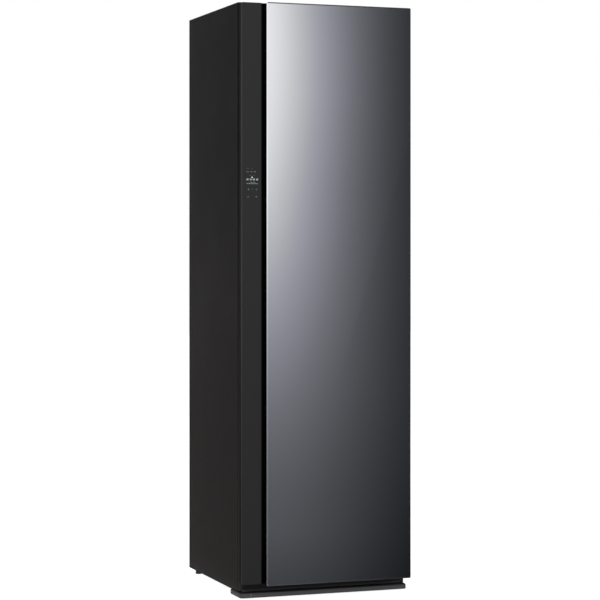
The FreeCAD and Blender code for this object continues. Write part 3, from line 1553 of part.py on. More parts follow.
def drive_mount():
    """Bearing plate over the wheels, on four legs from the chamber ceiling."""
    mount = new_body("drive_mount")
    x_low = "(-crank_wheel - bearing_margin - leg_width)"
    x_high = "(drive_spacing + drive_motor_radius + bearing_margin + leg_width)"
    half = "(carriage_depth / 2 + bearing_margin)"
    add(mount, "XY", PLATE_LOW, PLATE_TOP, [box_outline(x_low, x_high, f"-{half}", half)])
    legs = []
    for x in (x_low, f"{x_high} - leg_width"):
        for y in (f"-{half}", f"{half} - leg_width"):
            legs.append(box_outline(x, f"{x} + leg_width", y, f"{y} + leg_width"))
    add(mount, "XY", CEILING_TOP, PLATE_LOW, legs)
    add(mount, "XY", PLATE_TOP, f"{PLATE_TOP} + bearing_height", circles=[("0", "0", "3 * shaft_radius")])
    bores = [("0", "0", "shaft_radius + running_gap"), ("drive_spacing", "0", "shaft_radius + running_gap")]
    take(mount, "XY", PLATE_LOW, f"{PLATE_TOP} + bearing_height", circles=bores)


def drive_motor():
    """Hanger drive motor on top of the bearing plate."""
    can = new_body("drive_motor")
    profile = [
        ("shaft_radius + running_gap", "0"),
        ("drive_motor_radius", "0"),
        ("drive_motor_radius", "drive_motor_height"),
        ("0", "drive_motor_height"),
        ("0", "drive_motor_height / 2"),
        ("shaft_radius + running_gap", "drive_motor_height / 2"),
    ]
    turn(can, profile)
    place(can, "drive_spacing", "0", PLATE_TOP)


def main_board():
    """Main control board in its tray, on the chamber ceiling."""
    x_low = f"(board_wall - {CHAMBER_SIDE})"
    y_low = f"({CHAMBER_BACK} - board_setback - board_depth)"
    high = f"({CEILING_TOP} + board_rim)"
    sheet_low = f"({CEILING_TOP} + 2 * board_wall)"
    sheet_high = f"({sheet_low} + board_thick)"
    outer = (x_low, f"{x_low} + board_width", y_low, f"{y_low} + board_depth")
    inner = (
        f"{x_low} + board_wall",
        f"{x_low} + board_width - board_wall",
        f"{y_low} + board_wall",
        f"{y_low} + board_depth - board_wall",
    )
    tray = block("board_tray", *outer, CEILING_TOP, high)
    room = block("board_room", *inner, f"{CEILING_TOP} + board_wall", high)
    parts = [carve("board_case", tray, [room]), block("board_sheet", *inner, sheet_low, sheet_high)]
    for column in range(3):
        for row in range(2):
            x = f"({x_low} + board_part / 2 + {column} * 1.6 * board_part)"
            y = f"({y_low} + board_part / 2 + {row} * 1.8 * board_part)"
            parts.append(
                block(
                    f"board_part_{column}_{row}",
                    x,
                    f"{x} + board_part",
                    y,
                    f"{y} + board_part",
                    sheet_high,
                    f"{sheet_high} + board_part_height * {1 + column / 2}",
                )
            )
    node(join("main_board", parts), "main_board")


# ---------------------------------------------------------------- door

GLASS_TOP = "(cabinet_height - glass_drop)"
COLUMN_FRONT = f"({DOOR_FRONT} + column_step)"
COLUMN_BACK = f"({COLUMN_FRONT} + column_depth)"
COLUMN_EDGE = f"(-{SIDE} + column_width)"
GLASS_EDGE = f"({COLUMN_EDGE} + grip_width)"
GRIP_EDGE = f"({GLASS_EDGE} + grip_undercut)"
GRIP_BACK = f"({COLUMN_FRONT} + grip_depth)"
CARRIER_FRONT = f"({DOOR_FRONT} + glass_thick)"
CARRIER_BACK = f"({CARRIER_FRONT} + carrier_thick)"
LINER_FACE = f"({FRONT} - seal_gap)"
DOOR_BACK = f"({LINER_FACE} - door_liner)"
UPPER_ARM = f"({TOP_UNDER} - fit_gap - hinge_plate)"
DOOR_TOP = f"({UPPER_ARM} - hinge_gap)"
COLUMN_TOP = f"({DOOR_TOP} + hinge_gap)"
LOWER_ARM = "(door_bottom - hinge_gap - hinge_plate)"
HINGE_X = f"({SIDE} - hinge_inset)"
HINGE_Y = f"({FRONT} - hinge_reach)"


def door_frame():
    """Moulded door body: a ribbed tray that the glass carrier and the column close."""
    frame = new_body("door_frame")
    profile = [
        (f"-{SIDE}", COLUMN_BACK),
        (COLUMN_EDGE, COLUMN_BACK),
        (COLUMN_EDGE, GRIP_BACK),
        (GRIP_EDGE, GRIP_BACK),
        (GRIP_EDGE, CARRIER_BACK),
        (SIDE, CARRIER_BACK),
        (SIDE, DOOR_BACK),
        (f"-{SIDE}", DOOR_BACK),
    ]
    add(frame, "XY", "door_bottom", DOOR_TOP, [profile])
    fillet(frame, "door_wall", {"x": f"-{SIDE}", "y": DOOR_BACK}, {"x": SIDE, "y": DOOR_BACK})
    pitch = f"(({DOOR_TOP} - door_bottom - 2 * cell_rib + cell_rib) / door_cells)"
    cell_low = "(door_bottom + cell_rib)"
    cell_high = f"({cell_low} + {pitch} - cell_rib)"
    wide = box_outline(f"{GRIP_EDGE} + door_wall", f"{SIDE} - door_wall", cell_low, cell_high)
    cut = take(frame, "XZ", CARRIER_BACK, f"{DOOR_BACK} - door_wall", [wide])
    repeat(frame, cut, "Z_Axis", f"{pitch} * (door_cells - 1)", "door_cells")
    narrow = box_outline(f"-{SIDE} + door_wall", f"{COLUMN_EDGE} - door_wall", cell_low, cell_high)
    cut = take(frame, "XZ", COLUMN_BACK, f"{DOOR_BACK} - door_wall", [narrow])
    repeat(frame, cut, "Z_Axis", f"{pitch} * (door_cells - 1)", "door_cells")
    boss = box_outline(f"{HINGE_X} - hinge_arm", SIDE, CARRIER_BACK, f"{DOOR_BACK} - door_wall")
    bore = (HINGE_X, HINGE_Y, "hinge_pin + running_gap + bush_wall")
    depth = "(pin_length + cell_rib)"
    add(frame, "XY", "door_bottom", f"door_bottom + {depth} + cell_rib", [boss])
    add(frame, "XY", f"{DOOR_TOP} - {depth} - cell_rib", DOOR_TOP, [boss])
    take(frame, "XY", "door_bottom", f"door_bottom + {depth}", circles=[bore])
    take(frame, "XY", f"{DOOR_TOP} - {depth}", DOOR_TOP, circles=[bore])


def hinge_bushes():
    """Flanged bushes in the door's bottom and top for the hinge pins."""
    bushes = []
    depth = "(pin_length + cell_rib)"
    flange = "(hinge_gap - fit_gap)"
    outer = "hinge_pin + running_gap + bush_wall"
    inner = "hinge_pin + running_gap"
    for name, low, flange_low in (
        ("lower", "door_bottom", f"(door_bottom - {flange})"),
        ("upper", f"({DOOR_TOP} - {depth})", DOOR_TOP),
    ):
        sleeve = rod(f"sleeve_{name}", "z", HINGE_X, HINGE_Y, low, depth, outer)
        collar = rod(f"collar_{name}", "z", HINGE_X, HINGE_Y, flange_low, flange, f"{outer} + bush_lip")
        through = (f"{low} - hinge_gap", f"{depth} + 2 * hinge_gap")
        hole = rod(f"bush_hole_{name}", "z", HINGE_X, HINGE_Y, *through, inner)
        bushes.append(carve(f"bush_{name}", join(f"bush_body_{name}", [sleeve, collar]), [hole]))
    group("hinge_bushes", bushes)


def hinge_bracket(name, arm_low, pin_low, plate_front, fix_low, fix_high):
    """Hinge bracket: a fixing plate inside the cabinet, a round-ended arm and its pin."""
    bracket = new_body(name, alone=False)
    half = "(hinge_arm / 2)"
    plate_back = f"({plate_front} + hinge_plate)"
    flank = f"({SIDE} - front_flange - fit_gap)"
    arm = [
        (f"{HINGE_X} - {half}", HINGE_Y),
        (f"{HINGE_X} + {half}", HINGE_Y),
        (f"{HINGE_X} + {half}", f"{HINGE_Y} + {half}"),
        (flank, f"{HINGE_Y} + 2 * {half}"),
        (flank, plate_back),
        (f"{HINGE_X} - 2 * {half}", plate_back),
        (f"{HINGE_X} - 2 * {half}", f"{HINGE_Y} + 2 * {half}"),
    ]
    add(bracket, "XY", arm_low, f"{arm_low} + hinge_plate", [arm])
    add(bracket, "XY", arm_low, f"{arm_low} + hinge_plate", circles=[(HINGE_X, HINGE_Y, half)])
    fixing = box_outline(f"{HINGE_X} - 1.6 * hinge_arm", f"{HINGE_X} + {half} / 2", fix_low, fix_high)
    add(bracket, "XZ", plate_front, plate_back, [fixing])
    add(bracket, "XY", pin_low, f"{pin_low} + pin_length", circles=[(HINGE_X, HINGE_Y, "hinge_pin")])
    return bracket


def hinge_brackets():
    """Upper and lower hinge bracket."""
    upper = hinge_bracket(
        "upper_bracket",
        UPPER_ARM,
        f"({UPPER_ARM} - pin_length)",
        FRAME_BACK,
        f"{UPPER_ARM} - hinge_arm",
        f"{UPPER_ARM} + hinge_plate",
    )
    lower = hinge_bracket(
        "lower_bracket",
        LOWER_ARM,
        f"({LOWER_ARM} + hinge_plate)",
        f"({CHASSIS_FRONT} - hinge_plate)",
        "panel_bottom + cover_wall",
        f"{LOWER_ARM} + hinge_plate",
    )
    group("hinge_brackets", [upper, lower])


def glass_carrier():
    """Carrier bonded behind the glass; its left edge overhangs the finger groove."""
    carrier = new_body("glass_carrier")
    x_low = f"({GLASS_EDGE} + carrier_inset)"
    x_high = f"({SIDE} - carrier_inset)"
    z_low = "(glass_bottom + carrier_inset)"
    z_high = f"({GLASS_TOP} - carrier_inset)"
    add(carrier, "XZ", CARRIER_FRONT, CARRIER_BACK, [box_outline(x_low, x_high, z_low, z_high)])
    fillet(
        carrier,
        "carrier_inset",
        {"x": x_low, "z": z_low},
        {"x": x_low, "z": z_high},
        {"x": x_high, "z": z_low},
        {"x": x_high, "z": z_high},
    )
    room = box_outline(
        f"{GRIP_EDGE} + door_wall",
        f"{SIDE} - 3 * door_wall",
        "door_bottom + 3 * door_wall",
        f"{DOOR_TOP} - 3 * door_wall",
    )
    take(carrier, "XZ", f"{CARRIER_FRONT} + door_wall", CARRIER_BACK, [room])


def mirror_glass():
    """Mirrored glass with a bevel round its front edge."""
    glass = new_body("mirror_glass")
    limits = (GLASS_EDGE, SIDE, "glass_bottom", GLASS_TOP)
    add(glass, "XZ", DOOR_FRONT, CARRIER_FRONT, [box_outline(*limits)])
    x_low, x_high, z_low, z_high = limits
    fillet(
        glass,
        "glass_bevel",
        {"x": x_low, "z": z_low},
        {"x": x_low, "z": z_high},
        {"x": x_high, "z": z_low},
        {"x": x_high, "z": z_high},
    )
    base = glass.Tip
    rim = edges_at(glass, y=DOOR_FRONT)
    bevel = glass.newObject("PartDesign::Chamfer", "glass_bevel_cut")
    bevel.Base = (base, rim)
    bevel.ChamferType = "Two distances"
    bind(bevel, Size="glass_bevel", Size2="glass_thick / 5")
    doc.recompute()
    if abs(front_face_width(glass) - number(f"{SIDE} - {GLASS_EDGE} - 2 * glass_bevel")) > 0.01:
        bevel.FlipDirection = True
        doc.recompute()


def front_face_width(body):
    """Width of the flat front face of a body."""
    plane = number(DOOR_FRONT)
    faces = [face for face in body.Shape.Faces if abs(face.CenterOfMass.y - plane) < 1e-4]
    return max(face.BoundBox.XLength for face in faces)


def control_column():
    """Hollow cover of the control column, left of the finger groove."""
    cover = new_body("control_column")
    plan = box_outline(f"-{SIDE}", COLUMN_EDGE, COLUMN_FRONT, COLUMN_BACK)
    add(cover, "XY", "door_bottom", COLUMN_TOP, [plan])
    fillet(cover, "column_wall / 2", *({"x": x, "y": COLUMN_FRONT} for x in (f"-{SIDE}", COLUMN_EDGE)))
    room = box_outline(
        f"-{SIDE} + column_wall",
        f"{COLUMN_EDGE} - column_wall",
        "door_bottom + column_wall",
        f"{DOOR_TOP} - column_wall",
    )
    take(cover, "XZ", f"{COLUMN_FRONT} + column_wall", COLUMN_BACK, [room])


def display_module():
    """Display and touch board that lights through the column's face."""
    module = new_body("display_module")
    middle = f"((-{SIDE} + {COLUMN_EDGE}) / 2)"
    half = "(display_width / 2)"
    face = f"({COLUMN_FRONT} + column_wall)"
    high = "(display_low + display_height)"
    back = f"({face} + display_thick)"
    board = box_outline(f"{middle} - {half}", f"{middle} + {half}", "display_low", high)
    add(module, "XZ", face, back, [board])
    foot = "(display_low + plug_low)"
    plug = box_outline(f"{middle} - {half} / 3", f"{middle} + {half} / 3", foot, f"{foot} + plug_height")
    add(module, "XZ", back, f"{back} + plug_depth", [plug])


def grip_channel():
    """Channel of the finger groove, with closed ends; it reaches behind the glass."""
    channel = new_body("grip_channel")
    outer = [
        (COLUMN_EDGE, f"{COLUMN_FRONT} + grip_wall"),
        (f"{COLUMN_EDGE} + grip_wall", f"{COLUMN_FRONT} + grip_wall"),
        (f"{COLUMN_EDGE} + grip_wall", f"{GRIP_BACK} - grip_wall"),
        (f"{GRIP_EDGE} - grip_wall", f"{GRIP_BACK} - grip_wall"),
        (f"{GRIP_EDGE} - grip_wall", CARRIER_BACK),
        (GRIP_EDGE, CARRIER_BACK),
        (GRIP_EDGE, GRIP_BACK),
        (COLUMN_EDGE, GRIP_BACK),
    ]
    add(channel, "XY", "door_bottom", DOOR_TOP, [outer])
    cap = box_outline(COLUMN_EDGE, GRIP_EDGE, CARRIER_BACK, GRIP_BACK)
    add(channel, "XY", "door_bottom", "door_bottom + grip_wall", [cap])
    add(channel, "XY", f"{DOOR_TOP} - grip_wall", DOOR_TOP, [cap])


def door_liner():
    """Inner door sheet with four raised dam bars that enter the chamber's mouth."""
    sheet = new_body("liner_sheet", alone=False)
    half = f"({SIDE} - door_wall)"
    low = "(door_bottom + door_wall)"
    high = f"({DOOR_TOP} - door_wall)"
    add(sheet, "XZ", DOOR_BACK, LINER_FACE, [box_outline(f"-{half}", half, low, high)])
    chamfer(
        sheet,
        "tank_radius",
        {"x": f"-{half}", "z": low},
        {"x": half, "z": low},
        {"x": f"-{half}", "z": high},
        {"x": half, "z": high},
    )
    side = f"({CHAMBER_SIDE} - dam_margin)"
    low = "(floor_height + dam_margin)"
    high = f"({CEILING} - dam_margin)"
    inner = f"({side} - dam_width)"
    limits = {
        "left": (f"-{side}", f"-{inner}", low, high),
        "right": (inner, side, low, high),
        "bottom": (f"-{inner}", inner, low, f"{low} + dam_width"),
        "top": (f"-{inner}", inner, f"{high} - dam_width", high),
    }
    bars = []
    depth = (LINER_FACE, f"{LINER_FACE} + dam_height")
    for name, (x_low, x_high, z_low, z_high) in limits.items():
        bars.append(block(f"dam_{name}", x_low, x_high, *depth, z_low, z_high))
    group("door_liner", [sheet, *bars])


def door_gasket():
    """Magnetic gasket: a foot on the liner, a bellows neck and the magnet lip."""
    gasket = new_body("door_gasket")
    half = f"({SIDE} - gasket_inset)"
    low = "(frame_bottom + gasket_rise)"
    high = f"({CEILING} + gasket_over)"
    lip_back = f"({FRAME_FRONT} - fit_gap)"
    foot_end = f"({LINER_FACE} + gasket_foot)"
    lip_start = f"({lip_back} - magnet_lip)"
    for start, finish, inset in (
        (LINER_FACE, foot_end, "0"),
        (foot_end, lip_start, "gasket_neck"),
        (lip_start, lip_back, "0"),
    ):
        rings = []
        for step in (inset, f"(gasket_width - {inset})"):
            upright = (f"{low} + {step}", f"{high} - {step}")
            rings.append(box_outline(f"{step} - {half}", f"{half} - {step}", *upright))
        add(gasket, "XZ", start, finish, rings)


# ---------------------------------------------------------------- trouser press

PRESS_Y = f"({LINER_FACE} + press_gap + press_thick / 2)"
PRESS_TOP = "(press_low + press_height)"


def press_board():
    """Perforated trouser press board with the knuckle that turns on the hinge pins."""
    board = new_body("press_board")
    low = f"({PRESS_Y} - press_thick / 2)"
    high = f"({PRESS_Y} + press_thick / 2)"
    edge = "(press_side - press_width)"
    plate = box_outline(edge, "press_side", "press_low", PRESS_TOP)
    add(board, "XZ", low, high, [plate])
    fillet(board, "tank_radius", {"x": edge, "z": "press_low"}, {"x": edge, "z": PRESS_TOP})
    add(board, "XY", "press_low", PRESS_TOP, circles=[("press_side", PRESS_Y, "press_knuckle")])
    margin = "(2 * tank_radius)"
    slots = []
    for column in range(3):
        start = f"({edge} + {margin} + {column} * (press_width - 2 * {margin}) / 3)"
        foot = f"press_low + {margin}"
        slots.append(box_outline(start, f"{start} + press_slot", foot, f"{foot} + press_slot_height"))
    row = take(board, "XZ", low, high, slots)
    repeat(board, row, "Z_Axis", f"press_height - 2 * {margin} - press_slot_height", "press_slot_rows")
    bore = ("press_side", PRESS_Y, "press_pin + running_gap")
    take(board, "XY", "press_low", "press_low + press_bore", circles=[bore])
    take(board, "XY", f"{PRESS_TOP} - press_bore", PRESS_TOP, circles=[bore])


def press_hinge():
    """Two lugs on the door liner, each with a pin for the press board."""
    lugs = []
    for name, low, pin_low in (
        ("lower", "(press_low - fit_gap - press_lug)", "(press_low - fit_gap)"),
        ("upper", f"({PRESS_TOP} + fit_gap)", f"({PRESS_TOP} + fit_gap - press_pin_length)"),
    ):
        arm = block(
            f"press_lug_{name}",
            "press_side - press_lug",
            "press_side + press_lug",
            LINER_FACE,
            f"{PRESS_Y} + press_pin + press_lug_wall",
            low,
            f"{low} + press_lug",
        )
        pin = rod(f"press_pin_{name}", "z", "press_side", PRESS_Y, pin_low, "press_pin_length", "press_pin")
        lugs.append(join(f"press_mount_{name}", [arm, pin]))
    group("press_hinge", lugs)


# ---------------------------------------------------------------- assembly


def build_all():
    """Every sub-part, from the outer casing inwards."""
    side_panel("left_side_panel", "-1")
    side_panel("right_side_panel", "1")
    top_panel()
    back_panel()
    rear_service_cover()
    cord_gland()
    base_chassis()
    rear_feet()
    for name, (x, y) in zip(("left_foot", "right_foot"), front_foot_places()):
        front_foot(name, x, y)
    plinth()
    lower_front_cover()
    front_frame()
    group("liner_side_walls", [liner_side("liner_left", "-1"), liner_side("liner_right", "1")])
    liner_back()
    chamber_ceiling()
    chamber_floor()
    wall_insulation()
    outlet_grille()
    chamber_lamp()
    shelf()
    tank_bay()
    for name, side in (("supply", "-1"), ("drain", "1")):
        tank(f"{name}_tank", side)
        tank_lid(f"{name}_tank_lid", side)
    filter_housing()
    lint_filter()
    fan_housing()
    impeller()
    fan_motor()
    compressor()
    coils = [heat_exchanger("evaporator", EVAPORATOR_FRONT), heat_exchanger("condenser", CONDENSER_FRONT)]
    group("heat_exchangers", coils)
    exchanger_tray()
    boiler()
    pipework()
    steam_nozzle()
    water_pump()
    hanger_rack()
    rack_yoke()
    rack_guides()
    crank_wheel()
    motor_wheel()
    drive_belt()
    drive_mount()
    drive_motor()
    main_board()
    door_frame()
    hinge_bushes()
    hinge_brackets()
    glass_carrier()
    mirror_glass()
    control_column()
    display_module()
    grip_channel()
    door_liner()
    door_gasket()
    press_board()
    press_hinge()


def check_all():
    """Stop if any object failed or any sub-part has no sound shape."""
    doc.recompute()
    for thing in doc.Objects:
        if "Invalid" in thing.State or "Error" in thing.State:
            raise RuntimeError(f"{thing.Label} failed: {thing.State}")
    for thing in NODES:
        if thing.Shape.isNull() or not thing.Shape.isValid():
            raise RuntimeError(f"{thing.Label} has no valid shape")


def export_all():
    """One STEP file for each sub-part."""
    os.makedirs("parts", exist_ok=True)
    for thing in NODES:
        thing.Shape.exportStep(f"parts/{thing.Label}.step")
        print(f"{thing.Label:22s} {len(thing.Shape.Solids):3d} solids {thing.Shape.Volume / 1000:12.1f} cm3")


build_all()
check_all()
export_all()
print(f"{len(NODES)} sub-parts written")
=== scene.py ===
"""Looks of a clothes care steam cabinet: finishes, fine parts and a small studio round it."""

import json
import math

import bmesh
import bpy
from bpy.props import FloatProperty, FloatVectorProperty, IntProperty, PointerProperty
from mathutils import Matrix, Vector

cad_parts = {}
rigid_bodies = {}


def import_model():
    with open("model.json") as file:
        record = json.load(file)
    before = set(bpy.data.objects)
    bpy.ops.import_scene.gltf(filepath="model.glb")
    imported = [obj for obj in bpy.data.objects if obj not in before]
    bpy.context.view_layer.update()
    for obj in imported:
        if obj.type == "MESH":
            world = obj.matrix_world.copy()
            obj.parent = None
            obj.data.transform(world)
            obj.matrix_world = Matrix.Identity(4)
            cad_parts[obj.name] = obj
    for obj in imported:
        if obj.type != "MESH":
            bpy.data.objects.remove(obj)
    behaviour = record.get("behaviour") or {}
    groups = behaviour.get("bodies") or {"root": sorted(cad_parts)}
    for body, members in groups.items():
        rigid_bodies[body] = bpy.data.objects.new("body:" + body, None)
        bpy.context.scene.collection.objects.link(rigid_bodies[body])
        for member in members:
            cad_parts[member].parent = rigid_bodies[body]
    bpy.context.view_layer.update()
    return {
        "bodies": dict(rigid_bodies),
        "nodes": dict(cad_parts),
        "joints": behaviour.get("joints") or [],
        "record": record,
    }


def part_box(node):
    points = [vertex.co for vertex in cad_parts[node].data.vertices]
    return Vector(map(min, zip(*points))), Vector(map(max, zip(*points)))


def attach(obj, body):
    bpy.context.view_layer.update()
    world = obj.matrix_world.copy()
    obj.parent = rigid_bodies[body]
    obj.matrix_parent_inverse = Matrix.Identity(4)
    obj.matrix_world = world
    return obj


bl_info = {
    "name": "Clothes Care Steam Cabinet",
    "version": (1, 0, 0),
    "blender": (4, 5, 0),
    "location": "3D View > Sidebar > Steam Cabinet",
    "description": "Gives the steam cabinet its finishes, its fine parts and a studio",
    "category": "Object",
}

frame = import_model()


# ---------------------------------------------------------------- nodes


class Wire:
    """Output of a node that can be used in a sum as a number is."""

    def __init__(self, net, socket):
        self.net = net
        self.socket = socket

    def other(self, name):
        """Another output of the same node."""
        return Wire(self.net, self.socket.node.outputs[name])

    def math(self, operation, *others):
        """Maths on this value first and the others after it."""
        values = dict(enumerate((self, *others)))
        return self.net.make("ShaderNodeMath", {"operation": operation}, values)

    def __add__(self, other):
        return self.math("ADD", other)

    def __sub__(self, other):
        return self.math("SUBTRACT", other)

    def __mul__(self, other):
        return self.math("MULTIPLY", other)

    def __truediv__(self, other):
        return self.math("DIVIDE", other)

    def __pow__(self, other):
        return self.math("POWER", other)

    def __rsub__(self, other):
        return self.net.make("ShaderNodeMath", {"operation": "SUBTRACT"}, {0: other, 1: self})

    __radd__ = __add__
    __rmul__ = __mul__

    def held(self, low, high):
        """The value kept between two limits."""
        return self.math("MAXIMUM", low).math("MINIMUM", high)

    def above(self, edge, soft):
        """0 below an edge and 1 above it, with a ramp of the given width."""
        return ((self - edge) / soft + 0.5).held(0.0, 1.0)

    def band(self, middle, half, soft):
        """1 nearer than half to the middle and 0 farther out, with a ramp of the given width."""
        return 1.0 - (self - middle).math("ABSOLUTE").above(half, soft)


class Net:
    """Node tree that is being built; every node comes from make."""

    def __init__(self, tree):
        self.tree = tree
        tree.nodes.clear()

    def make(self, kind, settings=None, values=None, output=0):
        node = self.tree.nodes.new(kind)
        for name, value in (settings or {}).items():
            setattr(node, name, value)
        for key, value in (values or {}).items():
            if isinstance(value, Wire):
                self.tree.links.new(value.socket, node.inputs[key])
            else:
                node.inputs[key].default_value = value
        return Wire(self, node.outputs[output]) if node.outputs else node

    def place(self):
        """Object coordinates of the shaded point."""
        return self.make("ShaderNodeTexCoord", output="Object")

    def split(self, vector):
        """X, Y and Z of a vector."""
        parts = self.make("ShaderNodeSeparateXYZ", values={0: vector})
        return parts, parts.other("Y"), parts.other("Z")

    def stretched(self, vector, factors):
        """Vector multiplied by one factor along each axis."""
        return self.make("ShaderNodeVectorMath", {"operation": "MULTIPLY"}, {0: vector, 1: factors})

    def noise(self, vector, scale, detail=2.0):
        return self.make("ShaderNodeTexNoise", values={"Vector": vector, "Scale": scale, "Detail": detail})

    def cells(self, vector, scale, feature="F1", output="Distance"):
        values = {"Vector": vector, "Scale": scale}
        return self.make("ShaderNodeTexVoronoi", {"feature": feature}, values, output)

    def mix(self, share, first, second):
        """Colour mixed from two by a share of the second."""
        values = {0: share, 6: first, 7: second}
        return self.make("ShaderNodeMix", {"data_type": "RGBA"}, values, output=2)

    def bump(self, height, depth):
        """Normal from a height, with the depth of the relief in metres."""
        return self.make("ShaderNodeBump", values={"Strength": 1.0, "Distance": depth, "Height": height})


def rgba(colour, factor=1.0):
    """Opaque colour, with its three channels multiplied by a factor."""
    return (*(channel * factor for channel in colour[:3]), 1.0)


BLACK = (0.0, 0.0, 0.0, 1.0)


def surface(
    name,
    colour,
    rough,
    metal=0.0,
    mottle=0.08,
    broad=5.0,
    grain=900.0,
    relief=0.00004,
    spread=0.12,
    detail=None,
    **fixed,
):
    """Material with broad mottling, a roughness that follows it, and a fine grain in relief.

    The colour varies by the share mottle, and the roughness by spread. The scales of the two noises are
    broad and grain, and relief is the depth of the grain in metres. A detail function may change the
    parts or add a glow before they reach the shader. Fixed values go straight to the shader's sockets.
    """
    material = bpy.data.materials.new(name)
    material.use_nodes = True
    net = Net(material.node_tree)
    place = net.place()
    cloud = net.noise(place, broad, 4.0)
    speck = net.noise(place, grain, 1.0)
    share = (cloud * 0.7 + speck * 0.3).held(0.0, 1.0)
    parts = {
        "colour": net.mix(share, rgba(colour, 1.0 - mottle), rgba(colour, 1.0 + mottle)),
        "rough": rough + (cloud - 0.5) * spread,
        "height": speck,
        "metal": metal,
    }
    if detail:
        detail(net, place, parts)
    values = {
        "Base Color": parts["colour"],
        "Roughness": parts["rough"],
        "Metallic": parts["metal"],
        "Normal": net.bump(parts["height"], relief),
    }
    if "glow" in parts:
        values["Emission Color"] = parts["glow"]
    shader = net.make("ShaderNodeBsdfPrincipled", values={**values, **fixed})
    net.make("ShaderNodeOutputMaterial", values={"Surface": shader})
    return material


def dress(names, material):
    """Give CAD nodes, named in one line, a material."""
    for name in names.split():
        for slot in frame["nodes"][name].material_slots:
            slot.material = material


# ---------------------------------------------------------------- meshes


def piece_from(name, shape, material, body, slot):
    """Object from a finished bmesh; it rides on a body. The slot argument is not used."""
    mesh = bpy.data.meshes.new(name)
    bmesh.ops.recalc_face_normals(shape, faces=shape.faces)
    shape.to_mesh(mesh)
    shape.free()
    return piece_of(name, mesh, material, body)


def piece_of(name, mesh, material, body):
    """Object from a mesh; it rides on a body."""
    mesh.materials.clear()
    mesh.materials.append(material)
    piece = bpy.data.objects.new(name, mesh)
    bpy.context.collection.objects.link(piece)
    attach(piece, body)
    return piece


def add_block(shape, low, high):
    """Box between two corners."""
    made = bmesh.ops.create_cube(shape, size=1.0)["verts"]
    middle = (Vector(low) + Vector(high)) / 2
    size = Vector(high) - Vector(low)
    for vertex in made:
        vertex.co = middle + Vector(a * b for a, b in zip(vertex.co, size))


def add_turned(shape, profile, steps):
    """Closed solid turned from (radius, height) points about the Y axis."""
    rings = []
    for radius, height in profile:
        if radius < 1e-7:
            rings.append([shape.verts.new((0, 0, height))])
            continue
        angles = [2 * math.pi * index / steps for index in range(steps)]
        rings.append([shape.verts.new((radius * math.cos(a), radius * math.sin(a), height)) for a in angles])
    for lower, upper in zip(rings, rings[1:]):
        for index in range(steps):
            following = (index + 1) % steps
            corners = [lower[index % len(lower)], lower[following % len(lower)]]
            corners += [upper[following % len(upper)], upper[index % len(upper)]]
            unique = list(dict.fromkeys(corners))
            if len(unique) > 2:
                shape.faces.new(unique)
    for ring in rings:
        for vertex in ring:
            vertex.co = vertex.co.xzy


def add_plate(shape, outline, y_front, y_back):
    """Flat plate with an outline of (x, z) points between two depths."""
    front = [shape.verts.new((x, y_front, z)) for x, z in outline]
    back = [shape.verts.new((x, y_back, z)) for x, z in outline]
    shape.faces.new(front)
    shape.faces.new(back[::-1])
    for index in range(len(outline)):
        following = (index + 1) % len(outline)
        shape.faces.new((front[index], back[index], back[following], front[following]))


def repeat_tree():
    """Geometry tree that repeats a piece on a grid of two steps."""
    tree = bpy.data.node_groups.new("repeat_on_grid", "GeometryNodeTree")
    for name, kind in (
        ("Piece", "Object"),
        ("Finish", "Material"),
        ("Start", "Vector"),
        ("Along", "Vector"),
        ("Along Count", "Int"),
        ("Up", "Vector"),
        ("Up Count", "Int"),
    ):
        tree.interface.new_socket(name, in_out="INPUT", socket_type=f"NodeSocket{kind}")
    tree.interface.new_socket("Geometry", in_out="OUTPUT", socket_type="NodeSocketGeometry")
    net = Net(tree)
    given = net.make("NodeGroupInput")
    row = net.make(
        "GeometryNodeMeshLine",
        values={
            "Count": given.other("Along Count"),
            "Start Location": given.other("Start"),
            "Offset": given.other("Along"),
        },
    )
    column = net.make(
        "GeometryNodeMeshLine",
        values={"Count": given.other("Up Count"), "Offset": given.other("Up")},
    )
    columns = net.make("GeometryNodeInstanceOnPoints", values={"Points": row, "Instance": column})
    grid = net.make("GeometryNodeRealizeInstances", values={"Geometry": columns})
    piece = net.make("GeometryNodeObjectInfo", values={"Object": given.other("Piece")}, output="Geometry")
    placed = net.make("GeometryNodeInstanceOnPoints", values={"Points": grid, "Instance": piece})
    whole = net.make("GeometryNodeRealizeInstances", values={"Geometry": placed})
    painted = net.make(
        "GeometryNodeSetMaterial",
        values={"Geometry": whole, "Material": given.other("Finish")},
    )
    net.make("NodeGroupOutput", values={"Geometry": painted})
    return tree


ONCE = ((1, 0, 0), 1)


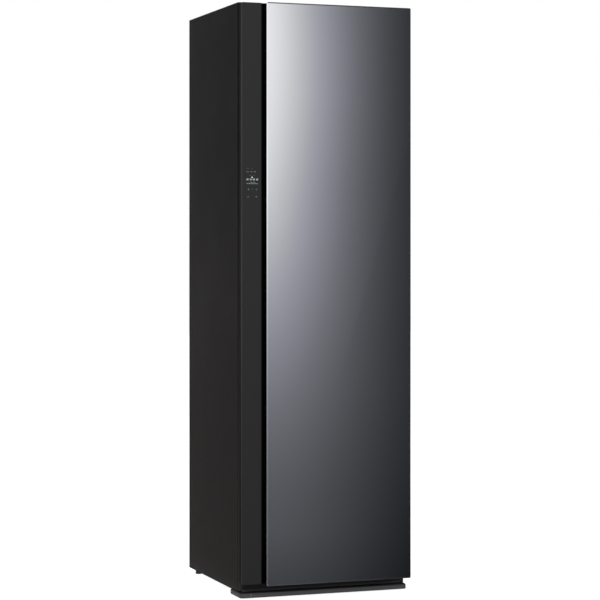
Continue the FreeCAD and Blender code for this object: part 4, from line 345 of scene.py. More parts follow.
def repeated(name, shape, start, along, up, material, body, slot):
    """Plain mesh of one small shape repeated on a grid by the geometry tree.

    along and up are a step and a count each; ONCE stands for no repeat along that side.
    """
    tree = bpy.data.node_groups.get("repeat_on_grid") or repeat_tree()
    seed = bpy.data.meshes.new(f"{name}_seed")
    bmesh.ops.recalc_face_normals(shape, faces=shape.faces)
    shape.to_mesh(seed)
    shape.free()
    original = bpy.data.objects.new(f"{name}_seed", seed)
    carrier = bpy.data.objects.new(f"{name}_carrier", bpy.data.meshes.new(f"{name}_carrier"))
    for thing in (original, carrier):
        bpy.context.collection.objects.link(thing)
    given = {
        "Piece": original,
        "Finish": material,
        "Start": start,
        "Along": along[0],
        "Along Count": along[1],
        "Up": up[0],
        "Up Count": up[1],
    }
    modifier = carrier.modifiers.new("repeat", "NODES")
    modifier.node_group = tree
    for item in tree.interface.items_tree:
        if item.in_out == "INPUT":
            modifier[item.identifier] = given[item.name]
    whole = carrier.evaluated_get(bpy.context.evaluated_depsgraph_get())
    mesh = bpy.data.meshes.new_from_object(whole)
    carrier.modifiers.remove(modifier)
    for thing in (carrier, original):
        bpy.data.objects.remove(thing)
    if not mesh.polygons:
        raise RuntimeError(f"{name} came out empty")
    mesh.name = name
    return piece_of(name, mesh, material, body)


# ---------------------------------------------------------------- settings


def length(name, description, default):
    """Length in metres."""
    kind = {"subtype": "DISTANCE", "unit": "LENGTH"}
    return FloatProperty(name=name, description=description, default=default, min=0.0, **kind)


def share(name, description, default):
    """Share between 0 and 1."""
    kind = {"min": 0.0, "max": 1.0, "subtype": "FACTOR"}
    return FloatProperty(name=name, description=description, default=default, **kind)


def colour(name, description, default):
    """Linear colour without its alpha."""
    kind = {"size": 3, "min": 0.0, "max": 1.0, "subtype": "COLOR"}
    return FloatVectorProperty(name=name, description=description, default=default, **kind)


def watts(name, description, default):
    """Power of a lamp."""
    return FloatProperty(name=name, description=description, default=default, unit="POWER")


def how_many(name, description, default):
    """Count of pieces in a row."""
    return IntProperty(name=name, description=description, default=default, min=2)


class StudioSettings(bpy.types.PropertyGroup):
    """Light and room round the cabinet."""

    sky: share("Sky level", "Level of the even light from all round", 0.62)
    key_power: watts("Key lamp", "Power of the soft lamp at the front left", 150.0)
    fill_power: watts("Fill lamps", "Power of the soft lamps at the right and behind", 60.0)
    floor_glow: share("Floor glow", "White that the floor adds for the eye, over its own lit colour", 0.7)
    lens: FloatProperty(
        name="Lens",
        description="Focal length of the camera",
        default=121.46,
        unit="CAMERA",
    )


class CasingSettings(bpy.types.PropertyGroup):
    """Outer sheet steel, plinth and feet."""

    paint: colour("Paint", "Colour of the painted steel", (0.0153, 0.0118, 0.0127))
    plinth: colour("Plinth", "Colour of the moulded plinth", (0.052, 0.052, 0.056))
    zinc: colour("Zinc", "Colour of the galvanised sheet", (0.5, 0.51, 0.53))
    screw_radius: length("Screw radius", "Radius of a back screw's head", 0.0052)
    screw_rows: how_many("Screw rows", "Screws up each side of the upper back sheet", 8)


class DoorSettings(bpy.types.PropertyGroup):
    """Mirror, column, groove and inner side of the door."""

    mirror: colour("Mirror tint", "Colour of the mirror's coating", (0.885, 0.893, 0.905))
    mirror_rough: share("Mirror haze", "Roughness of the mirror", 0.035)
    column: colour("Column paint", "Colour of the control column", (0.0275, 0.0275, 0.0275))
    lit: share("Lit marks", "Level of the lit marks", 0.95)
    # The marks that are not lit glow faintly: painted light that makes the printed signs show.
    dim: share("Dim marks", "Level of the marks that are not lit", 0.16)
    digit: length("Digit height", "Height of the lit digits", 0.0052)


class ChamberSettings(bpy.types.PropertyGroup):
    """Liner, shelf, rail, tanks and lint filter."""

    liner: colour("Liner", "Colour of the formed liner", (0.56, 0.56, 0.55))
    lamp_glow: share("Lamp glow", "Level of the light strip's cover", 0.9)
    thread: length("Screen thread", "Thickness of the lint screen's threads", 0.0005)
    thread_pitch: length("Thread pitch", "Distance between the screen's threads", 0.0035)


class MachineSettings(bpy.types.PropertyGroup):
    """Heat pump, fan, boiler, drive and board behind the covers."""

    fin_count: how_many("Fins", "Thin fins on each heat exchanger", 90)
    copper: colour("Copper", "Colour of the refrigerant tubes", (0.56, 0.2, 0.1))


class CabinetSettings(bpy.types.PropertyGroup):
    """All settings of the cabinet."""

    studio: PointerProperty(type=StudioSettings)
    casing: PointerProperty(type=CasingSettings)
    door: PointerProperty(type=DoorSettings)
    chamber: PointerProperty(type=ChamberSettings)
    machine: PointerProperty(type=MachineSettings)


# ---------------------------------------------------------------- studio

# The camera's place in metres, its turn to the right in degrees and its upward shift.
EYE = Vector((-2.359, -6.583, 1.137))
EYE_TURN = 19.8
EYE_SHIFT = -0.0795

# The mirror's outline in metres, which the graded reflector is laid out for.
GLASS_LEFT, GLASS_RIGHT = -0.216, 0.295
GLASS_LOW, GLASS_TOP = 0.043, 1.957
GLASS_FRONT = -0.31

# Logarithms of the reflector's level at the top of the glass, and how far they fall down to its foot.
LEFT_LEVEL, LEFT_FALL = -0.22, 2.66
RIGHT_LEVEL, RIGHT_FALL = -3.26, 1.05
# The left side falls faster between these shares of the glass's height.
BELLY_FROM, BELLY_TO, BELLY_DEPTH = 0.33, 0.91, 2.3
# The power of the change from left to right at the top, and what is added to it down to the foot. More is
# added in a band that is given by its middle, its half and its ramp in shares of the height.
ACROSS_POWER, ACROSS_ADDED = 1.2, 0.75
BAND_ADDED, HIGH_BAND = 0.12, (0.12, 0.12, 0.16)
MIRROR_SHARE = 0.89

STUDIO_WHITE = (1.0, 1.0, 1.0, 1.0)
DIM_TINT, BRIGHT_TINT, MIDDLE_TINT = (0.858, 0.9, 1.01, 1.0), (0.98, 0.98, 1.0, 1.0), (0.921, 0.93, 1.05, 1.0)


def seen_share(net):
    """1 for rays that show the background: straight, mirrored or through glass."""
    path = net.make("ShaderNodeLightPath", output="Is Camera Ray")
    return (path + path.other("Is Glossy Ray") + path.other("Is Transmission Ray")).held(0.0, 1.0)


def stage_sheet(name, corners, material):
    """Flat stage sheet of four corners."""
    mesh = bpy.data.meshes.new(name)
    mesh.from_pydata(corners, [], [(0, 1, 2, 3)])
    mesh.materials.append(material)
    sheet = bpy.data.objects.new(name, mesh)
    bpy.context.collection.objects.link(sheet)
    return sheet


def only_mirrored(thing):
    """Let a stage sheet show in reflections only, so that it takes no light away."""
    for kind in ("camera", "diffuse", "transmission", "volume_scatter", "shadow"):
        setattr(thing, f"visible_{kind}", False)


def glow_material(name, level):
    """Material that shines at a level from its own nodes: bluer where it is dim, more violet in between."""
    material = bpy.data.materials.new(name)
    material.use_nodes = True
    net = Net(material.node_tree)
    share = level(net)
    tint = net.mix((share * 1.3).held(0.0, 1.0), DIM_TINT, BRIGHT_TINT)
    tint = net.mix(share.band(0.29, 0.14, 0.12), tint, MIDDLE_TINT)
    shine = net.mix(share, BLACK, tint)
    light = net.make("ShaderNodeEmission", values={"Color": shine, "Strength": 1.0})
    net.make("ShaderNodeOutputMaterial", values={"Surface": light})
    return material


def glass_shares(net):
    """Where the glass shows the shaded point to the camera: shares of its width and of its height down."""
    x, y, z = net.split(net.place())
    depth = (GLASS_FRONT - y) / (GLASS_FRONT - EYE.y)
    across = ((x + EYE.x * depth) / (depth + 1.0) - GLASS_LEFT) / (GLASS_RIGHT - GLASS_LEFT)
    down = (GLASS_TOP - (z + EYE.z * depth) / (depth + 1.0)) / (GLASS_TOP - GLASS_LOW)
    return across, down


def graded_level(net):
    """Level of the graded reflector: bright at the upper left, falling to the right and down."""
    across, down = glass_shares(net)
    lower = down.held(0.0, 1.0)
    belly = (lower - BELLY_FROM) * (BELLY_TO - lower).math("MAXIMUM", 0.0) * BELLY_DEPTH
    left = LEFT_LEVEL - LEFT_FALL * (lower * lower * (belly + 1.0))
    right = RIGHT_LEVEL - RIGHT_FALL * lower**4.0
    power = ACROSS_POWER + ACROSS_ADDED * lower**2.2 + BAND_ADDED * lower.band(*HIGH_BAND)
    side = across.held(0.0, 1.25) ** power + across.held(-0.14, 0.0)
    level = (left + (right - left) * side).math("EXPONENT") / MIRROR_SHARE
    facet = (across + down * 1.174 - 1.256).above(0.0, 0.02) * (1.0 - down.above(0.62, 0.1))
    far_left = (across * -1.0).above(4.0, 3.0)
    high = (down * -1.0).above(0.45, 0.5)
    dimmed = (1.0 - facet * 0.06) * (1.0 - far_left * 0.65) * (1.0 - high * 0.85)
    return (level * dimmed).held(0.0, 1.0)


def dark_level(net):
    """Level of the dark flags at both sides, with the softest clouds."""
    return net.noise(net.place(), 0.4, 1.0) * 0.03 + 0.02


class STEAM_CABINET_OT_studio(bpy.types.Operator):
    """Set the camera, the floor, the graded reflector, the lamps and the sky"""

    bl_idname = "steam_cabinet.studio"
    bl_label = "Studio"

    def execute(self, context):
        settings = context.scene.steam_cabinet.studio
        context.scene.view_settings.view_transform = "Standard"
        self.add_camera(context.scene, settings)
        self.add_floor(settings)
        self.add_reflectors()
        for name, place, size, power in (
            ("key_lamp", (-4.2, -5.2, 4.4), 3.0, settings.key_power),
            ("fill_lamp", (4.8, -3.0, 3.2), 3.0, settings.fill_power),
            ("back_lamp", (1.5, 6.0, 4.5), 3.0, settings.fill_power),
        ):
            self.add_lamp(name, Vector(place), size, power)
        self.set_sky(context.scene, settings)
        return {"FINISHED"}

    def add_camera(self, scene, settings):
        data = bpy.data.cameras.new("front_left_camera")
        data.lens = settings.lens
        data.shift_y = EYE_SHIFT
        camera = bpy.data.objects.new("front_left_camera", data)
        camera.location = EYE
        camera.rotation_euler = (math.pi / 2, 0.0, -math.radians(EYE_TURN))
        bpy.context.collection.objects.link(camera)
        scene.camera = camera

    def add_floor(self, settings):
        material = bpy.data.materials.new("studio_floor")
        material.use_nodes = True
        net = Net(material.node_tree)
        paper = net.noise(net.place(), 14.0, 3.0)
        tone = net.mix(paper, (0.8, 0.8, 0.8, 1.0), (0.86, 0.86, 0.86, 1.0))
        lit = net.make("ShaderNodeBsdfDiffuse", values={"Color": tone})
        glow = net.make("ShaderNodeEmission", values={"Strength": settings.floor_glow})
        both = net.make("ShaderNodeAddShader", values={0: lit, 1: glow})
        floor = net.make("ShaderNodeMixShader", values={0: seen_share(net), 1: lit, 2: both})
        net.make("ShaderNodeOutputMaterial", values={"Surface": floor})
        half = 20
        corners = [(-half, -half, 0), (half, -half, 0), (half, half, 0), (-half, half, 0)]
        stage_sheet("studio_floor", corners, material)

    def add_reflectors(self):
        """Sheets that only the glass and the metal see: a graded wall and floor in front, dark ones aside."""
        graded = glow_material("graded_reflector", graded_level)
        dark = glow_material("dark_flag", dark_level)
        wall, near, reach, lift = -3.2, GLASS_FRONT - 0.02, 5, 0.002
        upright = [(-reach, wall, 0), (reach, wall, 0), (reach, wall, reach), (-reach, wall, reach)]
        lying = [(-reach, wall, lift), (reach, wall, lift), (reach, near, lift), (-reach, near, lift)]
        sheets = [stage_sheet("graded_wall", upright, graded), stage_sheet("graded_floor", lying, graded)]
        front, back, top = -2.6, 12, 6
        for side, name in ((-1, "left"), (1, "right")):
            far, close = side * 2.2, side * 0.31
            upright = [(far, front, 0), (far, back, 0), (far, back, top), (far, front, top)]
            sheets.append(stage_sheet(f"dark_wall_{name}", upright, dark))
            lying = [(far, near, lift), (close, near, lift), (close, back, lift), (far, back, lift)]
            sheets.append(stage_sheet(f"dark_floor_{name}", lying, dark))
        for sheet in sheets:
            only_mirrored(sheet)

    def add_lamp(self, name, place, size, power):
        data = bpy.data.lights.new(name, "AREA")
        data.shape = "SQUARE"
        data.size = size
        data.energy = power
        lamp = bpy.data.objects.new(name, data)
        lamp.location = place
        lamp.rotation_euler = (Vector((0, 0, 1.0)) - place).to_track_quat("-Z", "Y").to_euler()
        lamp.visible_glossy = False
        bpy.context.collection.objects.link(lamp)

    def set_sky(self, scene, settings):
        world = bpy.data.worlds.new("studio_sky")
        world.use_nodes = True
        scene.world = world
        net = Net(world.node_tree)
        light = net.make("ShaderNodeBackground", values={"Color": STUDIO_WHITE, "Strength": settings.sky})
        white = net.make("ShaderNodeBackground", values={"Color": STUDIO_WHITE, "Strength": 1.0})
        both = net.make("ShaderNodeMixShader", values={0: seen_share(net), 1: light, 2: white})
        net.make("ShaderNodeOutputWorld", values={"Surface": both})


# ---------------------------------------------------------------- casing


def spangle(net, place, parts):
    """Zinc crystals that differ a little in tone and gloss, and the dark joint of the two back sheets."""
    bent = net.noise(place, 60.0, 2.0)
    crystal = net.cells(net.stretched(place, (1.0, 0.2, 1.0)), 110.0, output="Color")
    tone = net.make("ShaderNodeSeparateColor", values={0: crystal})
    _, y, z = net.split(place)
    joint = z.band(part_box("back_panel")[0][2], 0.0014, 0.0006) * y.above(0.3, 0.002)
    parts["colour"] = net.mix(tone * 0.5, parts["colour"], (0.7, 0.71, 0.73, 1.0))
    parts["colour"] = net.mix(joint * 0.85, parts["colour"], (0.02, 0.02, 0.02, 1.0))
    parts["rough"] = parts["rough"] + (tone - 0.5) * 0.1 + (bent - 0.5) * 0.06
    parts["height"] = tone


def brushed(net, place, parts):
    """Fine lines that run round or across a plated part."""
    lines = net.noise(net.stretched(place, (30.0, 30.0, 900.0)), 1.0, 3.0)
    parts["height"] = lines
    parts["rough"] = parts["rough"] + (lines - 0.5) * 0.25


def plinth_seam_scuffs_and_shade(net, place, parts):
    """Lighter seam near the plinth's left end, scuffs towards the floor, and painted shade in black along the
    top and lower rim.
    """
    x, _, z = net.split(place)
    seam = x.band(-0.259, 0.0012, 0.0003)
    streaks = net.noise(net.stretched(place, (12.0, 12.0, 160.0)), 1.0, 4.0)
    scuff = streaks.above(0.62, 0.12) * (1.0 - z.above(0.012, 0.008))
    parts["colour"] = net.mix(seam * 0.8, parts["colour"], (0.2, 0.2, 0.205, 1.0))
    parts["colour"] = net.mix(scuff * 0.3, parts["colour"], (0.09, 0.09, 0.09, 1.0))
    # Painted shade: black along the top, under the door's overhang, and along the foot as a contact shadow.
    painted_shade_rims = (1.0 - z.above(0.0045, 0.0008)) * 0.6 + z.above(0.0172, 0.0006) * 0.9
    parts["colour"] = net.mix(painted_shade_rims, parts["colour"], (0.004, 0.004, 0.004, 1.0))
    parts["rough"] = parts["rough"] + scuff * 0.15


def dust_and_painted_shading(net, place, parts):
    """Faint dust towards the floor, on painted light that makes the sheet paler towards the floor, and
    painted shade that turns it darker towards its front.
    """
    _, y, z = net.split(place)
    low = 1.0 - z.above(0.75, 1.5)
    dust = net.noise(place, 30.0, 5.0).above(0.5, 0.4) * low
    front = 1.0 - y.above(0.03, 0.56)
    # Painted light: paler towards the floor, with the faint dust on top.
    parts["colour"] = net.mix(low * 0.17 + dust * 0.03, parts["colour"], (0.2, 0.184, 0.168, 1.0))
    # Painted shade: darker towards the front of the sheet.
    parts["colour"] = net.mix(front * 0.24, parts["colour"], BLACK)
    parts["rough"] = parts["rough"] + dust * 0.06


def painted_sheet(net, place, parts):
    """Dusty paint with a black foot that is partly the hem and partly painted shade, and at the front edges
    painted shade lines with a painted highlight on the bend behind them.
    """
    dust_and_painted_shading(net, place, parts)
    x, y, z = net.split(place)
    left, front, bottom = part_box("left_side_panel")[0]
    side = x.math("ABSOLUTE").above(-left - 0.0005, 0.0002)
    # Painted highlight on the rounded bend behind the front edge.
    painted_bend_highlight = y.band(front + 0.0135, 0.005, 0.001) * side
    # Painted shade: a black line along the front edge, where the gap to the door lies in shadow.
    painted_front_shade = (1.0 - y.above(front + 0.0085, 0.001)) * side
    # Black foot: partly the hem's own dark edge and partly painted shade along the floor.
    foot = 1.0 - z.above(bottom + 0.003, 0.0006)
    parts["colour"] = net.mix(painted_bend_highlight * 0.04, parts["colour"], (0.2, 0.2, 0.2, 1.0))
    parts["colour"] = net.mix(foot.math("MAXIMUM", painted_front_shade) * 0.9, parts["colour"], (0.001, 0.001, 0.001, 1.0))


def strip_painted_fill(net, place, parts):
    """Front strip with painted light that turns it paler towards its foot, in the shade under the door."""
    z = net.split(place)[2]
    # Painted light: paler towards the foot to make up for the shade under the door.
    painted_fill_light = 1.0 - z.above(0.0235, 0.012)
    parts["colour"] = net.mix(painted_fill_light, parts["colour"], (0.11, 0.107, 0.107, 1.0))


class STEAM_CABINET_OT_casing(bpy.types.Operator):
    """Finish the outer sheets, the plinth and the feet, and set the back screws"""

    bl_idname = "steam_cabinet.casing"
    bl_label = "Casing and plinth"

    def execute(self, context):
        settings = context.scene.steam_cabinet.casing
        coat = {"mottle": 0.05, "grain": 1400.0, "relief": 0.00003, "Specular IOR Level": 0.25}
        sheets = surface("casing_paint", settings.paint, 0.46, detail=painted_sheet, **coat)
        dress("left_side_panel right_side_panel top_panel", sheets)
        dress("lower_front_cover", surface("strip_paint", settings.paint, 0.46, detail=strip_painted_fill, **coat))
        dress("plinth", surface("plinth_plastic", settings.plinth, 0.55, grain=1600.0, detail=plinth_seam_scuffs_and_shade))
        thin = {"mottle": 0.03, "relief": 0.00002}
        zinc = surface("galvanised_sheet", settings.zinc, 0.42, 0.6, detail=spangle, **thin)
        dress("back_panel rear_service_cover base_chassis hinge_brackets drive_mount", zinc)
        foot = surface("foot_plastic", (0.014, 0.014, 0.014), 0.6, mottle=0.2)
        dress("rear_feet left_foot right_foot cord_gland", foot)
        self.add_screws(settings)
        return {"FINISHED"}

    def add_screws(self, settings):
        """Two upright rows of screws on each back sheet."""
        steel = surface("screw_steel", (0.06, 0.06, 0.062), 0.35, 0.7, detail=brushed)
        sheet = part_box("back_panel")
        side, seat = sheet[1][0] - 0.019, sheet[1][1] - 0.0012
        end = 0.03
        rows_of = {"back": ("back_panel", settings.screw_rows), "cover": ("rear_service_cover", 3)}
        for name, (node, rows) in rows_of.items():
            low, high = (corner[2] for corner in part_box(node))
            step = (high - low - 2 * end) / (rows - 1)
            repeated(
                f"{name}_screws",
                self.head(settings.screw_radius),
                (-side, seat, low + end),
                ((2 * side, 0, 0), 2),
                ((0, 0, step), rows),
                steel,
                "cabinet",
                "zinc_steel",
            )

    def head(self, radius):
        """Low domed head with a round socket, that stands on its seat along +Y."""
        shape = bmesh.new()
        profile = [
            (0.0, 0.0004),
            (radius * 0.42, 0.0004),
            (radius * 0.42, 0.0011),
            (radius * 0.7, 0.00115),
            (radius * 0.93, 0.0007),
            (radius, 0.0),
            (0.0, 0.0),
        ]
        add_turned(shape, profile, 12)
        return shape


# ---------------------------------------------------------------- door


def column_painted_shade_and_highlight(net, place, parts):
    """Satin column, with painted shade that darkens it towards its foot and a painted highlight round its
    thin outer edge.
    """
    x, y, z = net.split(place)
    low = 1.0 - z.above(0.7, 1.3)
    edge = (1.0 - x.above(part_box("control_column")[0][0] + 0.0003, 0.0003)) * y.above(-0.292, 0.002)
    # Painted shade: darker towards the foot.
    parts["colour"] = net.mix(low * 0.12, parts["colour"], (0.012, 0.012, 0.012, 1.0))
    # Painted highlight on the side face at the outer edge.
    parts["colour"] = net.mix(edge * 0.6, parts["colour"], (0.075, 0.075, 0.075, 1.0))


def mirror_coat(net, place, parts):
    """Even coating with the faintest waves of float glass, and a ground bevel that looks a little paler."""
    low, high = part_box("mirror_glass")
    wide, soft = 0.004, 0.0006
    x, _, z = net.split(place)
    left = (1.0 - x.above(low[0] + wide, soft)) * 0.055
    right = x.above(high[0] - wide, soft) * 0.014
    foot = (1.0 - z.above(low[2] + wide, soft)) * 0.022
    top = z.above(high[2] - wide, soft) * 0.06
    parts["metal"] = 1.0 - left.math("MAXIMUM", right).math("MAXIMUM", foot).math("MAXIMUM", top)
    parts["height"] = net.noise(net.stretched(place, (2.0, 2.0, 1.2)), 1.0, 0.0)


def frame_step_shade(net, place, parts):
    """Painted shade: deep black along the two steps that run round the frame's edge."""
    y = net.split(place)[1]
    # Painted shade in the step where the column's cover sits and along the rear rim.
    step = y.band(-0.2795, 0.0025, 0.001) + y.above(-0.2615, 0.001)
    parts["colour"] = net.mix(step.held(0.0, 1.0) * 0.8, parts["colour"], (0.001, 0.001, 0.001, 1.0))


SEGMENTS = {
    "0": "abcdef",
    "1": "bc",
    "2": "abged",
    "3": "abgcd",
    "4": "fgbc",
    "5": "afgcd",
    "6": "afgedc",
    "7": "abc",
    "8": "abcdefg",
    "9": "abcdfg",
}


def digit_bars(digit, x, z, height, stroke):
    """Upright bars (x low, x high, z low, z high) of one seven-bar digit at a place."""
    wide = height * 0.55
    half = height / 2
    bars = {
        "a": (x, x + wide, z + height - stroke, z + height),
        "b": (x + wide - stroke, x + wide, z + half, z + height),
        "c": (x + wide - stroke, x + wide, z, z + half),
        "d": (x, x + wide, z, z + stroke),
        "e": (x, x + stroke, z, z + half),
        "f": (x, x + stroke, z + half, z + height),
        "g": (x, x + wide, z + half - stroke / 2, z + half + stroke / 2),
    }
    return [bars[name] for name in SEGMENTS[digit]]


def number_row(text, x_low, x_high, z, height, stroke):
    """Bars of a row of numbers spread over a width; a space leaves room."""
    bars = []
    pitch = (x_high - x_low - height * 0.55) / (len(text) - 1)
    for index, digit in enumerate(text):
        if digit in SEGMENTS:
            bars += digit_bars(digit, x_low + index * pitch, z, height, stroke)
    return bars


def ring_outline(x, z, radius, count=20):
    """Points on a circle in the plane of the door."""
    turns = [2 * math.pi * index / count for index in range(count)]
    return [(x + radius * math.cos(turn), z + radius * math.sin(turn)) for turn in turns]


class STEAM_CABINET_OT_door(bpy.types.Operator):
    """Finish the mirror, the column, the groove and the inner side of the door"""

    bl_idname = "steam_cabinet.door"
    bl_label = "Door"

    def execute(self, context):
        settings = context.scene.steam_cabinet.door
        even = {"mottle": 0.004, "relief": 0.00002, "spread": 0.004, "detail": mirror_coat}
        dress("mirror_glass", surface("mirror_coating", settings.mirror, settings.mirror_rough, **even))
        satin = {"relief": 0.00002, "Specular IOR Level": 0.12}
        dress("control_column", surface("column_paint", settings.column, 0.42, detail=column_painted_shade_and_highlight, **satin))
        matt = {"mottle": 0.3, "Specular IOR Level": 0.1}
        dress("grip_channel", surface("groove_black", (0.0012, 0.0012, 0.0012), 0.7, **matt))
        frame = surface("door_plastic", (0.013, 0.0125, 0.013), 0.55, grain=1600.0, detail=frame_step_shade)
        dress("door_frame", frame)
        dress("glass_carrier", surface("carrier_plastic", (0.01, 0.01, 0.01), 0.6))
        dress("display_module", surface("display_board", (0.01, 0.012, 0.012), 0.3))
        dress("hinge_bushes", surface("bush_nylon", (0.62, 0.61, 0.58), 0.5))
        dress("door_gasket", surface("gasket_rubber", (0.08, 0.08, 0.082), 0.62, mottle=0.15, grain=600.0))
        dress("press_board press_hinge", surface("press_plastic", (0.34, 0.34, 0.345), 0.5, grain=1200.0))
        return {"FINISHED"}


def add_bars(shape, bars, y_front, y_back):
    """Flat plates from bars (x low, x high, z low, z high)."""
    for x_low, x_high, z_low, z_high in bars:
        outline = [(x_low, z_low), (x_high, z_low), (x_high, z_high), (x_low, z_high)]
        add_plate(shape, outline, y_front, y_back)


# Column marks in metres: both ends of the wide rows, and the places (x, z) of the ring and the touch signs.
ROW_LEFT, ROW_RIGHT = -0.2828, -0.2431
LIT_RING, LIT_RING_RADIUS = (-0.2635, 1.3823), 0.0021
DROP, FAN, SWITCH, ARROW = (-0.2762, 1.343), (-0.2484, 1.3427), (-0.277, 1.3184), (-0.2486, 1.3187)


class STEAM_CABINET_OT_marks(bpy.types.Operator):
    """Set the lit numbers and the plain touch signs on the column"""

    bl_idname = "steam_cabinet.marks"
    bl_label = "Column marks"

    def execute(self, context):
        settings = context.scene.steam_cabinet.door
        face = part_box("control_column")[0][1]
        depths = (face - 0.00012, face + 0.0002)
        tall = settings.digit
        lit = number_row("30 45 60 90", ROW_LEFT, ROW_RIGHT, 1.3727, tall, tall * 0.2)
        lines = number_row("1234", -0.2715, -0.2535, 1.3643, 0.003, 0.0011)
        lines.append((ROW_LEFT, ROW_RIGHT, 1.3609, 1.3621))
        marks = bmesh.new()
        add_bars(marks, lit, *depths)
        self.add_marks("lit_numbers", marks, settings.lit * 0.6)
        marks = bmesh.new()
        add_plate(marks, ring_outline(*LIT_RING, LIT_RING_RADIUS), *depths)
        self.add_marks("lit_ring", marks, settings.lit)
        marks = bmesh.new()
        add_bars(marks, lines, *depths)
        self.add_marks("lit_lines", marks, settings.lit * 0.36)
        marks = bmesh.new()
        self.add_dim_bars(marks, depths)
        self.add_signs(marks, depths)
        # Painted light: the touch signs are not lit, yet glow at the dim level.
        self.add_marks("touch_signs", marks, settings.dim)
        return {"FINISHED"}

    def add_dim_bars(self, shape, depths):
        """Row of small numbers, with short strokes above it, below it and between the touch signs."""
        bars = number_row("20 40 60", -0.282, -0.251, 1.3984, 0.0042, 0.0007)
        bars += [(-0.2805, -0.2755, 1.4112, 1.4121), (-0.2663, -0.2635, 1.4112, 1.4121)]
        bars += [(-0.272, -0.266, 1.388, 1.3888), (-0.259, -0.255, 1.388, 1.3888)]
        bars.append((-0.2632, -0.2624, 1.3412, 1.3452))
        add_bars(shape, bars, *depths)

    def add_signs(self, shape, depths):
        """A drop, a fan, a ring with a bar and a triangle, as plain touch signs."""

        def sign(place, points):
            add_plate(shape, [(place[0] + x, place[1] + z) for x, z in points], *depths)

        flank = [(0.0016, 0.0008), (0.0019, -0.0008), (0.0011, -0.0023)]
        sign(DROP, [(0, 0.0034), *flank, *((-x, z) for x, z in flank[::-1])])
        for step in range(3):
            turn = 2 * math.pi * step / 3 + 0.5
            along = Vector((math.cos(turn), math.sin(turn)))
            across = Vector((-along.y, along.x)) * 0.0009
            root, tip = along * 0.0005, along * 0.0033
            sign(FAN, (root - across * 0.4, tip - across, tip + across, root + across * 0.4))
        for step in range(10):
            ends = [math.radians(120 + 30 * (step + part)) for part in (0, 1)]
            outer = [(math.cos(turn) * 0.0027, math.sin(turn) * 0.0027) for turn in ends]
            inner = [(math.cos(turn) * 0.0022, math.sin(turn) * 0.0022) for turn in ends[::-1]]
            sign(SWITCH, outer + inner)
        middle, half = SWITCH[0], 0.00035
        add_bars(shape, [(middle - half, middle + half, 1.3188, 1.3218)], *depths)
        sign(ARROW, [(-0.0024, -0.0024), (0.0032, 0.0), (-0.0024, 0.0024)])

    def add_marks(self, name, shape, level):
        """Piece on the door from finished marks, which shines at a level."""

        def shine(net, place, parts):
            cold, warm = rgba((0.86, 0.93, 1.0)), rgba((0.95, 0.98, 1.0))
            parts["glow"] = net.mix(net.noise(place, 2500.0), cold, warm)

        film = surface(f"{name}_film", (0.03, 0.03, 0.032), 0.4, detail=shine, **{"Emission Strength": level})
        piece_from(name, shape, film, "door", "display_dark")


# ---------------------------------------------------------------- chamber


def formed_sheet(net, place, parts):
    """Vacuum formed sheet: soft draw lines down the walls."""
    lines = net.noise(net.stretched(place, (60.0, 60.0, 3.0)), 1.0, 2.0)
    parts["colour"] = net.mix(lines * 0.12, parts["colour"], (0.4, 0.4, 0.4, 1.0))
    parts["rough"] = parts["rough"] + (lines - 0.5) * 0.1


def dark_rim(net, place, parts):
    """Draw lines, and the black edge strip that closes the sheet against the door's frame."""
    formed_sheet(net, place, parts)
    low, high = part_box("door_liner")
    rims = []
    for side, wire in enumerate(net.split(place)):
        middle, half = (low[side] + high[side]) / 2, (high[side] - low[side]) / 2
        rims.append((wire - middle).math("ABSOLUTE").above(half - 0.006, 0.0006))
    parts["colour"] = net.mix(rims[0].math("MAXIMUM", rims[2]), parts["colour"], (0.012, 0.012, 0.012, 1.0))


def foam_cells(net, place, parts):
    """Open cells of cut foam."""
    cell = net.cells(place, 350.0)
    parts["height"] = cell
    parts["colour"] = net.mix(cell * 0.5, parts["colour"], (0.42, 0.36, 0.22, 1.0))


def water_line(net, place, parts):
    """Milky moulding that looks darker below its filled level."""
    full = 1.0 - net.split(place)[2].above(0.235, 0.002)
    parts["colour"] = net.mix(full * 0.35, parts["colour"], (0.16, 0.21, 0.26, 1.0))


def lamp_shine(net, place, parts):
    """Frosted cover, brightest along its middle."""
    x = net.split(place)[0]
    middle = 1.0 - (x.math("ABSOLUTE") / 0.13).held(0.0, 1.0) * 0.35
    parts["glow"] = net.mix(middle, (0.2, 0.2, 0.19, 1.0), (1.0, 0.98, 0.93, 1.0))


class STEAM_CABINET_OT_chamber(bpy.types.Operator):
    """Finish the liners, the seal frame, the foam, the vents, the lamp, the shelf and the rail"""

    bl_idname = "steam_cabinet.chamber"
    bl_label = "Chamber"

    def execute(self, context):
        settings = context.scene.steam_cabinet.chamber
        formed = {"mottle": 0.03, "grain": 800.0}
        liner = surface("liner_sheet", settings.liner, 0.45, detail=formed_sheet, **formed)
        dress("liner_side_walls liner_back_wall chamber_ceiling chamber_floor", liner)
        dress("door_liner", surface("door_sheet", settings.liner, 0.45, detail=dark_rim, **formed))
        dress("front_frame", surface("frame_plastic", (0.2, 0.2, 0.205), 0.5, grain=1300.0))
        dress("wall_insulation", surface("cut_foam", (0.7, 0.62, 0.4), 0.9, relief=0.0006, detail=foam_cells))
        grille = surface("grille_plastic", (0.24, 0.25, 0.26), 0.5, grain=1300.0)
        dress("outlet_grille steam_nozzle lint_filter", grille)
        glow = {"Emission Strength": settings.lamp_glow}
        dress("chamber_lamp", surface("lamp_cover", (0.8, 0.8, 0.78), 0.6, detail=lamp_shine, **glow))
        dress("shelf", surface("shelf_powder", (0.62, 0.62, 0.62), 0.4, mottle=0.04, grain=1100.0))
        rail = surface("rail_anodised", (0.66, 0.67, 0.69), 0.3, 0.9, mottle=0.04, detail=brushed)
        dress("hanger_rack rack_yoke", rail)
        return {"FINISHED"}


